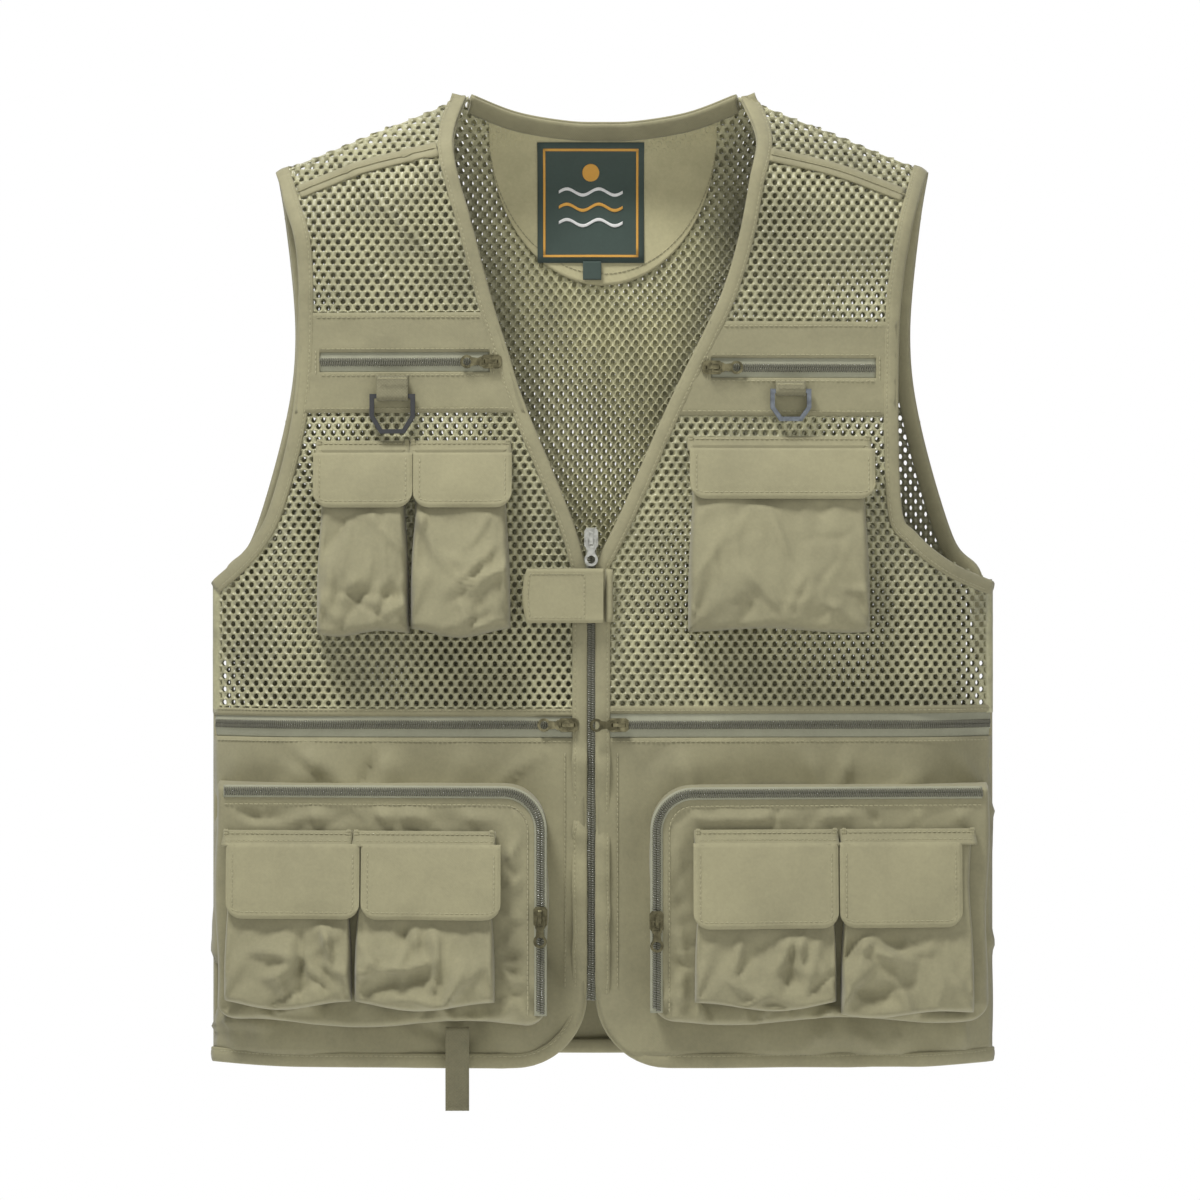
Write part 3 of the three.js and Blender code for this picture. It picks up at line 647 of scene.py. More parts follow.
def looks():
    """Every finish by name."""
    s = bpy.context.scene.vest_colors
    fabric = tuple(s.fabric)
    return {
        "shell": cloth("Plain_Cloth", fabric, 0.09),
        "flap": cloth("Flap_Cloth", tuple(c * 1.06 for c in fabric), 0.08),
        # Painted light: the inside cloth is the fabric colour times 1.32, lighter to make up for the shade
        # inside the back.
        "inside": cloth("Inside_Cloth_Painted_Light", tuple(c * 1.32 for c in fabric), 0.09),
        "binding": cloth("Binding_Tape", tuple(c * 1.02 for c in fabric), 0.10, 0.0016),
        "net": cloth("Net_Strands", tuple(s.net), 0.24, 0.0014, 0.6, 0.1, 0.38),
        # The lining's cloth, with painted light in the open neck and painted shade under the fronts.
        "net_lining_painted_light_and_shade": lining_painted_light_and_shade("Net_Lining_Painted_Light_And_Shade", tuple(s.net)),
        "tape": cloth("Zip_Tape", tuple(s.tape), 0.07, 0.0010),
        "webbing": cloth("Webbing", tuple(c * 0.86 for c in fabric), 0.12, 0.0022, 0.6),
        "thread": cloth("Sewing_Thread", tuple(c * 1.12 for c in fabric), 0.06, 0.0007, 0.2, 0.3),
        "coil": hard("Zip_Coil", tuple(s.coil), (0.28, 0.28, 0.25), 0.0, 0.3, 0.35, 0.1, 0.3),
        "brass": hard("Aged_Brass", (0.43, 0.41, 0.31), (0.17, 0.16, 0.11), 0.9, 0.22, 0.7),
        "steel": hard("Bright_Steel", (0.66, 0.66, 0.63), (0.36, 0.36, 0.34), 1.0, 0.3, 0.5),
        "plastic": hard("Black_Plastic", (0.17, 0.175, 0.18), (0.24, 0.24, 0.24), 0.0, 0.42, 0.4, 0.2),
        # Gunmetal with a painted highlight: the left ring is paler blue-grey than the near-black right ring,
        # standing for glare on the same dark metal.
        "gunmetal_painted_glare": hard("Dark_Metal_Painted_Glare", (0.44, 0.46, 0.48), (0.25, 0.26, 0.27), 0.9, 0.26, 0.5),
        "label": cloth("Label_Satin", (0.26, 0.315, 0.29), 0.06, 0.0006, 0.15, 0.3),
        "label_line": cloth("Label_Thread", (0.84, 0.63, 0.29), 0.05, 0.0006, 0.15, 0.3),
        "label_pale": cloth("Label_Pale", (0.88, 0.88, 0.87), 0.05, 0.0006, 0.15, 0.3),
    }


# ---- The net ----
STRAND_LIFTS = [1.9, 1.5, 0.3]
LINING_DROP = 2.4
NET_MARGIN, LINING_MARGIN = 3.0, 7.0
NET_SLACK = 1.12


def outer_limit(name, z):
    """How far out a front reaches at a height, as a positive distance."""
    side = SIDES[name]
    line = armhole(side)
    reach = np.abs(x_at(line, z))
    return np.where(z < side["armhole"][-1][1], HALF - 1, reach)


def inner_limit(name, z):
    """How far in a front reaches at a height, measured towards its own side."""
    sign = SIDES[name]["sign"]
    line = free_edge(SIDES[name])
    line = line[line[:, 1] > HEM + 0.5]
    return sign * x_at(line, np.maximum(z, HEM + 0.6))


def net_mesh(inside, depth, sign, area, lining=False):
    """Knitted net: staggered oval holes between rounded strands. The lining's holes lie between the net's."""
    s = bpy.context.scene.vest_sizes
    px, pz = s.net_width / MM, s.net_height / MM
    border = np.array([(-1, -1), (0, -1), (1, -1), (1, 0), (1, 1), (0, 1), (-1, 1), (-1, 0)])
    border = border * (px / 2, pz / 2)
    turn = np.radians([225, 270, 315, 0, 45, 90, 135, 180])
    hole = np.stack([np.cos(turn) * s.net_hole * px, np.sin(turn) * s.net_hole * pz * 1.75], 1)
    middle = border * 0.5 + hole * 0.5
    x0, x1, z0, z1 = area
    rows = np.arange(math.floor(z0 / pz), math.ceil(z1 / pz) + 1)
    cols = np.arange(math.floor(x0 / px), math.ceil(x1 / px) + 1)
    c, r = np.meshgrid(cols, rows)
    cx, cz = (c + 0.5 * ((r + lining) % 2)).ravel() * px, r.ravel() * pz
    keep = inside(cx, cz)
    centre = np.stack([cx[keep], cz[keep]], 1)
    ring = np.concatenate([border, middle, hole])
    flat = (centre[:, None, :] + ring[None]).reshape(-1, 2)
    lift = np.tile(np.repeat(STRAND_LIFTS, 8), len(centre)) - LINING_DROP * lining
    key = np.round(flat * 50).astype(np.int64)
    _, first, back_to = np.unique(key, axis=0, return_index=True, return_inverse=True)
    flat, lift = flat[first], lift[first]
    flat[:, 0] += lining * ripples(flat[:, 0], flat[:, 1], 88, 170, 4) * 1.0
    k = np.arange(8)
    after = (k + 1) % 8
    quads = np.vstack([
        np.stack([k, after, after + 8, k + 8], 1),
        np.stack([k + 8, after + 8, after + 16, k + 16], 1),
    ])
    faces = back_to.ravel()[(np.arange(len(centre))[:, None, None] * 24 + quads[None]).reshape(-1, 4)]
    if sign > 0:
        faces = faces[:, ::-1]
    return on(flat[:, 0], flat[:, 1], depth, lift, sign), faces


def net_piece(name, inside, depth, sign, area, replaced, lining=False):
    """One piece of net, with the share of its rectangle that it fills worked out but not used."""
    verts, faces = net_mesh(inside, depth, sign, area, lining)
    # The lining takes the cloth with painted light and shade.
    material = looks()["net_lining_painted_light_and_shade" if lining else "net"]
    piece = finish(name, verts, faces, material, replaced=replaced)
    real = sum(p.area for p in piece.data.polygons)
    wide, long = (area[1] - area[0]) * MM * NET_SLACK, (area[3] - area[2]) * MM * NET_SLACK
    area = float(np.clip(real, LEAST_SHARE * wide * long, wide * long))


def front_inside(name, low, high):
    """The test for a front between two heights."""
    sign = SIDES[name]["sign"]

    def inside(x, z):
        own = sign * x
        edge = (own > inner_limit(name, z) + 3.0) & (own < outer_limit(name, z) - 3.5)
        return edge & (z > low - 2.5) & (z < high + 2.5) & (z < ridge(x) - 1.5)

    return inside


def back_limit(z):
    """How far out the back reaches at a height."""
    line = smooth(BACK_ARMHOLE, 60)
    return np.where(z < BACK_ARMHOLE[-1][1], HALF - 1, x_at(line, z))


def back_inside(x, z, margin):
    """Whether a point is inside the back and clear of its edges."""
    neck = smooth(BACK_NECK, 40)
    top = np.where(np.abs(x) < 91, np.interp(x, neck[:, 0], neck[:, 1]), ridge(x)) - margin
    return (np.abs(x) < back_limit(z) - margin) & (z < top) & (z > WAIST[0] - 2)


def one_half(sign, margin):
    """The test for one side of the back."""
    return lambda x, z: back_inside(x, z, margin) & (sign * x > (-1e-6 if sign < 0 else 1e-6))


def make_net():
    for name, side in SIDES.items():
        span = (-HALF, 0) if side["sign"] < 0 else (0, HALF)
        low, high = (corner[2] for corner in box("chest_band_" + name))
        for part, node, bottom, top in (("Upper", "upper", high, 10), ("Middle", "mid", WAIST[0], low)):
            net_piece(f"Net_{part}_{name}", front_inside(name, bottom, top), worn_front, -1,
                      (*span, bottom, top), [f"{node}_mesh_{name}"])
    for name, side in SIDES.items():
        sign = side["sign"]
        span = (-HALF, 0) if sign < 0 else (0, HALF)
        replaced = ["back_mesh"] if sign < 0 else []
        area = (*span, WAIST[0], 6)
        net_piece(f"Net_Back_{name}", one_half(sign, NET_MARGIN), worn_back, 1, area, replaced)
        net_piece(f"Net_Lining_{name}", one_half(sign, LINING_MARGIN), worn_back, 1, area, [], lining=True)
    make_seams()


SEAM_PROFILE = np.array([
    (-2.6, -0.6), (2.6, -0.6), (3.0, 0.6), (2.2, 2.0), (0.6, 2.5), (-0.6, 2.5), (-2.2, 2.0), (-3.0, 0.6),
])
ROUND = np.radians(np.arange(0, 360, 45))


def shoulder_fold(sign, start, end):
    """The net's fold along the top of a shoulder, as a tube."""
    along = sign * np.linspace(start, end, 40)
    points = np.stack([along, np.zeros(40), ridge(along) - 1.6], 1)[:, None, :]
    ring = np.stack([0 * ROUND, 2.6 * np.cos(ROUND), 1.7 * np.sin(ROUND)], 1)[None]
    return (points + ring).reshape(-1, 3), tube_quads(40, 8)


def side_seam(sign, top):
    """The bound seam down one side, as a tube."""
    rows = np.linspace(top, HEM + 1.5, 60)
    swell = 1 + 0.06 * np.sin(rows / 9.0)
    y = swell[:, None] * 4.6 * np.sin(ROUND)
    x = sign * (HALF - 3.2) + swell[:, None] * 2.6 * np.cos(ROUND)
    return np.stack([x, y, rows[:, None] + 0 * y], -1).reshape(-1, 3), tube_quads(60, 8)


def make_seams():
    """Side seams, and the folded line on top of each shoulder."""
    for name, side in SIDES.items():
        sign = side["sign"]
        x = sign * (HALF - 3.6)
        under_arm = side["armhole"][-1][1]
        down = even(np.array([(x, under_arm + 1), (x, WAIST[0] - 1)]), 3)
        rolls = [surface_sweep(down, 1, SEAM_PROFILE, depth, way) for depth, way in FACES]
        rolls.append(shoulder_fold(sign, abs(side["neck"][0][0]) - 2, abs(side["armhole"][0][0]) - 1))
        piece = closed("Seams_" + name, *merged(rolls), looks()["net"])
        piece = closed("Side_Seam_" + name, *side_seam(sign, under_arm + 2), looks()["binding"])


# ---- Plain panels ----
PANEL_PITCH = 4.0


def panel_grid(name, z_lines, stops=()):
    """A front panel between the free edge and the side; stops are extra places for its columns."""
    sign = SIDES[name]["sign"]
    z = z_lines[:, None]
    near, far = inner_limit(name, z) + 1.5, outer_limit(name, z) - 1.5
    marks = [near] + [np.full_like(near, s) for s in stops] + [far]
    cols = []
    for a, b in zip(marks[:-1], marks[1:]):
        n = max(2, int(abs(float(np.mean(b - a))) / PANEL_PITCH))
        cols.append(a + (b - a) * np.arange(n)[None] / n)
    x = sign * np.hstack(cols + [far])
    if sign < 0:
        x = x[:, ::-1]
    z = np.broadcast_to(z, x.shape)
    return x, z


def make_panel(name, x, z, depth, lift, replaced, thick=1.4, sign=-1):
    """A sheet of plain cloth over a surface."""
    outer = on(x, z, depth, lift, sign)
    inner = on(x, z, depth, lift - thick, sign)
    piece = finish(name, *slab(outer, inner), looks()["shell"], replaced=replaced)


def band(name):
    """The plain chest band with its zip let into a slot."""
    low, high = box("chest_band_" + name)
    zip_low, zip_high = box("chest_zip_" + name)
    zc = (zip_low[2] + zip_high[2]) / 2
    sign = SIDES[name]["sign"]
    slot = sorted([sign * zip_low[0], sign * zip_high[0]])
    tall = 6.8
    z_lines = lines([low[2], high[2]], 3.0, (zc - tall, zc + tall))[::-1]
    stops = [slot[0] - 0.25, slot[0] + 0.25, slot[1] - 0.25, slot[1] + 0.25]
    x, z = panel_grid(name, z_lines, stops)
    own = sign * x
    hollow = (own > slot[0]) & (own < slot[1]) & (np.abs(z - zc) < tall)
    folds = ripples(x, z, 21, 55, 5) * 0.22 + creases(x, z, 33, 45, 3, 80) * 0.5
    gap = np.maximum(np.abs(z - zc) - tall, 0)
    rim = 0.45 * np.exp(-((gap - 2.0) / 2.0) ** 2)
    lift = 2.5 + np.where(hollow, -1.9, folds * np.clip(gap / 10, 0, 1) + rim)
    make_panel("Chest_Band_" + name, x, z, front, lift, ["chest_band_" + name])
    ends = sign * slot[0], sign * slot[1]
    for dz in (tall + 2.2, -tall - 2.2):
        sew(np.array(ends), np.full(2, zc + dz), front, 2.95)
    for x_end, way in ((ends[0], -1), (ends[1], 1)):
        place = x_end + sign * way * 2.4
        sew(np.full(2, place), np.array([zc - tall - 2, zc + tall + 2]), front, 2.8)
    for z_edge, inset in ((high[2], -3.2), (low[2], 3.2)):
        z_at = np.full(2, z_edge + inset)
        reach = sign * np.array([inner_limit(name, z_at[:1])[0] + 11, outer_limit(name, z_at[:1])[0] - 11])
        sew(reach, z_at, front, 2.85)
    zip_run("Chest_Zip_" + name, [(ends[0], zc), (ends[1], zc)], front, tall, 0.7, ["chest_zip_" + name])


def zip_run(name, path, depth, half, lift, replaced):
    """Zip tape along a path, with its two rows of teeth noted over it."""
    line = even(np.array(path, float), 2.5)
    profile = np.array([
        (-half, -0.4), (half, -0.4), (half, 0.5), (half - 0.6, 0.8), (3.6, 0.8), (3.2, 1.05),
        (-3.2, 1.05), (-3.6, 0.8), (0.6 - half, 0.8), (-half, 0.5),
    ])
    profile[:, 1] += lift
    verts, quads = surface_sweep(line, 1, profile, depth, -1)
    piece = closed(name, verts, quads, looks()["tape"], replaced=replaced)
    teeth(line[:, 0], line[:, 1], depth, lift + 1.0)
    return piece


FACING_PROFILE = np.array([
    (-1.8, 0.2), (3.6, 0.2), (3.8, 1.2), (3.2, 2.2), (1.5, 2.5), (0.6, 2.3), (-0.6, 2.4), (-1.7, 1.6),
])


def waist(name):
    """The full-width zip over the lower panel."""
    sign = SIDES[name]["sign"]
    zc = (WAIST[0] + WAIST[1]) / 2
    start = inner_limit(name, np.array([zc]))[0] + 7
    path = [(sign * start, zc), (sign * (HALF - 3), zc)]
    zip_run("Waist_Zip_" + name, path, front, 8.6, 0.6, ["waist_zip_" + name])
    for z_at, lift in ((WAIST[0] + 1.6, 2.5), (WAIST[1] - 3.0, 2.6)):
        sew(np.array([sign * (start + 3), sign * (HALF - 6)]), np.full(2, z_at), front, lift)
    edge = np.array([(sign * start, WAIST[0] + 1.0), (sign * (HALF - 2), WAIST[0] + 1.0)])
    piece = closed("Waist_Facing_" + name, *surface_sweep(even(edge, 5), 1, FACING_PROFILE, front, -1),
                   looks()["shell"])


def lower_panel(name):
    """The wrinkled plain cloth between the waist zip and the hem."""
    sign = SIDES[name]["sign"]
    z_lines = lines([HEM + 8, WAIST[1] - 0.4], 4.0)[::-1]
    x, z = panel_grid(name, z_lines)
    folds = ripples(x, z, 41, 90, 6) * 1.3 + creases(x, z, 47, 60, 2.4, 30, 0.5) * 3.6
    reach = (sign * 30, sign * (HALF - 10)) if sign > 0 else (10 - HALF, -30)
    folds += tucks(x, z, (*reach, HEM, WAIST[1]), 55 + sign, 30, 90, 6.5, 3.4, 62 * sign, 0.7)
    fade = smoothstep((z_lines[0] - z) / 22) * smoothstep((z - HEM - 6) / 14)
    fade = fade * smoothstep((np.abs(x) - np.abs(ZIP_X) - 14) / 22)
    make_panel("Lower_Panel_" + name, x, z, front, 2.2 + folds * fade, ["lower_panel_" + name])
    top, low = z_lines[0] - 10, HEM + 54
    inset = inner_limit(name, np.array([top]))[0] + 14.5
    sew(np.full(2, sign * inset), np.array([top, low]), front, 2.9)


def make_panels():
    for name in SIDES:
        band(name)
        waist(name)
        lower_panel(name)
    cols = np.linspace(HALF - 1, 1 - HALF, 130)
    rows = lines([HEM + 2, WAIST[0]], 5.0)[::-1]
    x, z = np.meshgrid(cols, rows)
    folds = ripples(x, z, 61, 130, 6, 10, 0.6) * 1.4 + creases(x, z, 62, 80, 2.4, 20) * 2.0
    folds += tucks(x, z, (30 - HALF, HALF - 30, HEM, WAIST[0]), 63, 16, 120, 9.0, 2.2, 85, 0.5)
    lift = 2.0 + folds * smoothstep((HALF - np.abs(x)) / 40) * smoothstep((WAIST[0] - z) / 20)
    make_panel("Back_Lower", x, z, back, lift, ["back_lower"], 1.6, 1)
    for dz in (-2.5, -6.5):
        sew(np.array([HALF - 8, 8 - HALF]), np.full(2, WAIST[0] + dz), back, 2.6, sign=1)


# ---- Bindings and yoke seams ----
INNER_FOLD = np.array([
    (4.8, -0.3), (9.5, -0.4), (9.6, -1.8), (8.4, -2.6), (6.6, -3.3),
    (3.2, -3.4), (0.8, -2.9), (-0.4, -1.8), (-0.5, -0.4), (0.6, -0.3),
])


def strip(path, inward, depth, sign):
    """A binding folded over an edge, with its outer and its inner half."""
    halves = [surface_sweep(path, inward, p, depth, sign) for p in (BINDING_PROFILE, INNER_FOLD)]
    return merged(halves)


def bind_stitches(path, inward, depth, sign):
    """The stitches along a binding's inner edge."""
    inner = moved(path, inward * 7.5)
    sew(inner[2:-2, 0], inner[2:-2, 1], depth, 2.95, sign=sign)


def make_binding(name, runs, replaced):
    """One piece of binding round several edges; a run is (path, inward, depth, sign)."""
    piece = closed(name, *merged([strip(*run) for run in runs]), looks()["binding"], replaced=[replaced])
    for run in runs:
        bind_stitches(*run)


def make_bindings():
    for name, side in SIDES.items():
        sign = side["sign"]
        make_binding("Front_Binding_" + name, [(free_edge(side), sign, worn_front, -1)],
                     "front_edge_binding_" + name)
        rear = even(smooth([(sign * x, z) for x, z in BACK_ARMHOLE], 60), 3.0)
        make_binding("Armhole_Binding_" + name,
                     [(armhole(side), -sign, worn_front, -1), (rear, -sign, worn_back, 1)],
                     "armhole_binding_" + name)
        yoke(name, side)
    hem = even(np.array([(HALF - 1, HEM), (1 - HALF, HEM)]), 4.0)
    neck = even(smooth(BACK_NECK, 40), 3.0)
    make_binding("Back_Binding", [(hem, -1, worn_back, 1), (neck, -1, worn_back, 1)], "back_neck_binding")


def yoke(name, side):
    """The thick ridged seam where the net wraps over the shoulder."""
    path = even(smooth(side["yoke"], 24), 2.5)
    rolls = []
    for shift, wide, tall in ((0.0, 3.2, 1.6), (-4.6, 2.2, 1.2)):
        profile = np.stack([shift + wide * np.cos(ROUND), 2.4 + tall * np.sin(ROUND)], 1)
        rolls.append(surface_sweep(path, 1, profile, worn_front, -1))
    piece = closed("Yoke_Seam_" + name, *merged(rolls), looks()["binding"])
    sew(path[:, 0], path[:, 1] - 2.4, worn_front, 3.6, pitch=2.8)


# ---- Pockets ----
POCKETS = {
    "chest_right_outer": (front_plane, 3),
    "chest_right_inner": (front_plane, 5),
    "chest_left": (front_plane, 8),
    "cargo_right_outer": (cargo_plane, 13),
    "cargo_right_inner": (cargo_plane, 17),
    "cargo_left_inner": (cargo_plane, 23),
    "cargo_left_outer": (cargo_plane, 29),
}


def bag_folds(u, v, seed, size):
    """Folds that fan out from a hanging bag's lower corners, with soft swags between them."""
    out = np.zeros(u.shape)
    rng = np.random.default_rng(seed)
    for corner in (-1, 1):
        reach = np.hypot((u - corner) * 0.8, (v - 1.0) * 1.5)
        angle = np.arctan2(1.0 - v + 0.02, np.abs(u - corner) + 0.02)
        phase, count = rng.uniform(0, 6.28), rng.uniform(7, 10)
        out += np.sin(angle * count + phase + 2.0 * reach) * np.exp(-((reach - 0.28) / 0.38) ** 2) * 1.1
        out -= 1.5 * np.exp(-(reach / 0.2) ** 2)
    swag = np.sin(7.5 * v + 1.2 * u ** 2 * rng.uniform(0.6, 1.4) + rng.uniform(0, 6.28))
    out += 0.55 * swag * np.exp(-((v - 0.75) / 0.3) ** 2)
    x, z = u * size, v * size
    rising = creases(x, z, seed, size * 0.55, 2.6, 50, 0.7) * 1.5
    out += rising - creases(x, z, seed + 7, size * 0.4, 3.0, 130) * 1.1
    return out + ripples(x, z, seed + 3, size * 0.4, 6) * 0.35


BAG_WALL, BAG_TOP = 5.0, 6.0
BAG_DEPTHS = (14.0, 30.0)
# How tall the tucks of a bag are, and how far it sags in under its flap.
BAG_SOFTNESS = {"chest": (2.6, 1.2), "cargo": (4.6, 3.6)}


def bag(name, depth, seed):
    """A slack pocket, its header strip, and the flap that hangs over it."""
    low, high = box(name + "_bag")
    flap_low, flap_high = box(name + "_flap")
    hinge = pivot(name + "_flap")
    soft, slack = BAG_SOFTNESS[name.split("_")[0]]
    wide, tall = high[0] - low[0], high[2] - low[2] - BAG_TOP
    full = depth((low[0] + high[0]) / 2)
    deep = min(max(-low[1] - full, BAG_DEPTHS[0]), BAG_DEPTHS[1])
    across, down = edge_lines(wide, BAG_WALL, 2.2), edge_lines(tall, BAG_WALL, 2.2)
    x, q = cloth_grid(low[0], across, down)
    v = q / tall
    u = (x - low[0]) / wide * 2 - 1
    rng = np.random.default_rng(seed)
    x = x - u * (3.0 * np.exp(-((v - 0.25) / 0.3) ** 2))
    bottom_wave = 2.2 * np.sin(u * 3.1 + rng.uniform(0, 6)) + 2.0 * u ** 2
    z = high[2] - BAG_TOP - q + v ** 3 * bottom_wave
    wall_x = rise(np.minimum(across, wide - across), BAG_WALL)[None, :]
    wall_z = rise(tall - q, 7.0) * rise(q + 1.5, 3.0)
    lean = 0.33 + 0.67 * smoothstep(v / 0.86) ** 0.9
    crown = 1 - 0.10 * u ** 2
    folds = bag_folds(u, v, seed, wide) * (1.9 if deep > 20 else 1.7)
    area = (low[0] + 8, high[0] - 8, low[2] + 8, flap_low[2])
    folds = folds * 0.6 + tucks(x, z, area, seed, 9, 62, 5.5, soft, 68, 0.75)
    area = (low[0], high[0], low[2], low[2] + 30)
    folds += tucks(x, z, area, seed + 1, 5, 40, 4.0, soft * 0.8, 15, 0.6)
    fade = np.minimum(wall_x, wall_z) ** 2
    lift = 1.2 + (deep - 2.0) * lean * crown * wall_x * wall_z
    tilt = abs(depth(flap_low[0]) - depth(flap_high[0])) / 2
    share = (hinge[2] - z) / (hinge[2] - flap_low[2])
    root, tip = -hinge[1] - full, -flap_low[1] - tilt - full
    under_flap = root + (tip - root) * share - 2.6 + 3.0 * smoothstep((share - 1.0) / 0.3)
    lift = np.minimum(lift, np.maximum(under_flap, 1.0)) + folds * fade * smoothstep((share - 1.02) / 0.22)
    lift = lift - slack * fade * np.exp(-((share - 1.22) / 0.26) ** 2)
    outer = np.stack([x, -(depth(x) + lift), z], -1)
    inner = np.stack([x, -(depth(x) + 0.6), z], -1)
    parts = [slab(outer, inner), header(low, high, depth)]
    piece = closed("Bag_" + name, *merged(parts), looks()["shell"], replaced=[name + "_bag"])
    for dz, height in ((-1.8, 3.75), (-6.6, 7.6)):
        sew(np.array([low[0] + 1, high[0] - 1]), np.full(2, high[2] + dz), depth, height)
    flap(name, flap_low, flap_high, hinge, depth)
    for x_end in (low[0] + 1.6, high[0] - 1.6):
        for k in range(4):
            place = np.full(2, x_end + 0.7 * (k - 1.5))
            sew(place, np.array([high[2] - 9, high[2] + 0.5]), depth, 4.0, pitch=2.0)


HEADER_PROFILE = np.array([
    (-5.6, 0.3), (4.4, 0.3), (4.7, 1.6), (4.0, 2.9), (2.4, 3.5), (0.4, 4.4),
    (-2.2, 7.2), (-4.6, 10.3), (-5.4, 10.9), (-6.0, 10.3), (-6.0, 8.8), (-5.6, 6.0),
])
FLAP_RADIUS = 11.0


def rounded(distance, radius):
    """How far a rounded corner is cut back at a distance from its side."""
    cut = radius - np.sqrt(np.maximum(radius ** 2 - (radius - distance) ** 2, 0))
    return np.where(distance < radius, cut, 0)


def header(low, high, depth):
    """The folded strip that the flap hangs from."""
    path = even(np.array([(low[0] - 0.6, high[2] - 4.2), (high[0] + 0.6, high[2] - 4.2)]), 4)
    return surface_sweep(path, 1, HEADER_PROFILE, depth, -1)


def flap(name, low, high, hinge, depth):
    """A pocket flap with rounded lower corners and a topstitched rim."""
    body = name + "_flap"
    x0, x1 = low[0], high[0]
    top = hinge[2] + 1.2
    wide, tall = x1 - x0, top - low[2]
    across = edge_lines(wide, 6.0, 2.6)
    down = np.r_[np.linspace(0, tall - 6, 16), tall - np.array([4.6, 3.2, 2.0, 1.0, 0.4, 0.0])]
    x, _ = cloth_grid(x0, across, down)
    from_side = np.minimum(across, wide - across)
    corner = rounded(from_side, FLAP_RADIUS)
    share = (down / tall)[:, None]
    u = (x - x0) / wide * 2 - 1
    z = top - share * (tall - corner[None, :] * share ** 2)
    tilt = abs(depth(x0) - depth(x1)) / 2
    start, end = -hinge[1] + 0.8, -low[1] + 0.2 - tilt
    slope = depth(x) - depth((x0 + x1) / 2)
    seed = int(abs(x0))
    wave = np.sin(u * 4.2 + seed) * 0.9 * share ** 2 + ripples(x, z, seed, 50, 5) * 0.45 * share
    belly = 1.6 * np.sin(share * math.pi) * (1 - u ** 2) + 1.0 * share ** 2
    edge = np.minimum(from_side[None, :] + 0 * share, tall * (1 - share) + 0 * x)
    rim = 0.35 * np.exp(-((edge - 2.2) / 1.8) ** 2) - 0.35 * np.exp(-((edge - 5.4) / 0.9) ** 2)
    curl = -0.9 * np.exp(-(edge / 1.6) ** 2)
    lean = start + (end - start) * share
    lift = lean + slope + wave + belly + rim + curl
    outer = np.stack([x, -lift, z], -1)
    inner = np.stack([x, -(lift - 1.7), z], -1)
    piece = finish("Flap_" + name, *slab(outer, inner), looks()["flap"], body, replaced=[name + "_flap"])
    stitch_grid(outer, across, down, wide, tall, body)


def nearest(lines_at, place):
    """The number of the grid line nearest to a place."""
    return int(np.argmin(np.abs(lines_at - place)))


STITCH_INSET = 4.6


def stitch_grid(outer, across, down, wide, tall, body):
    """A line of stitches round three sides of a grid, a little in from its edge."""
    left, right = nearest(across, STITCH_INSET), nearest(wide - across, STITCH_INSET)
    low = nearest(tall - down, STITCH_INSET)
    path = np.vstack([outer[2:low, left], outer[low, left:right], outer[low:1:-1, right]])
    normal = np.tile([0.0, -1.0, 0.0], (len(path), 1))
    note("stitch", body, path + normal * 0.12, normal, 3.4)


CARGO_WALL, CARGO_RADIUS, CARGO_FOOT = 5.6, 30.0, 16.0


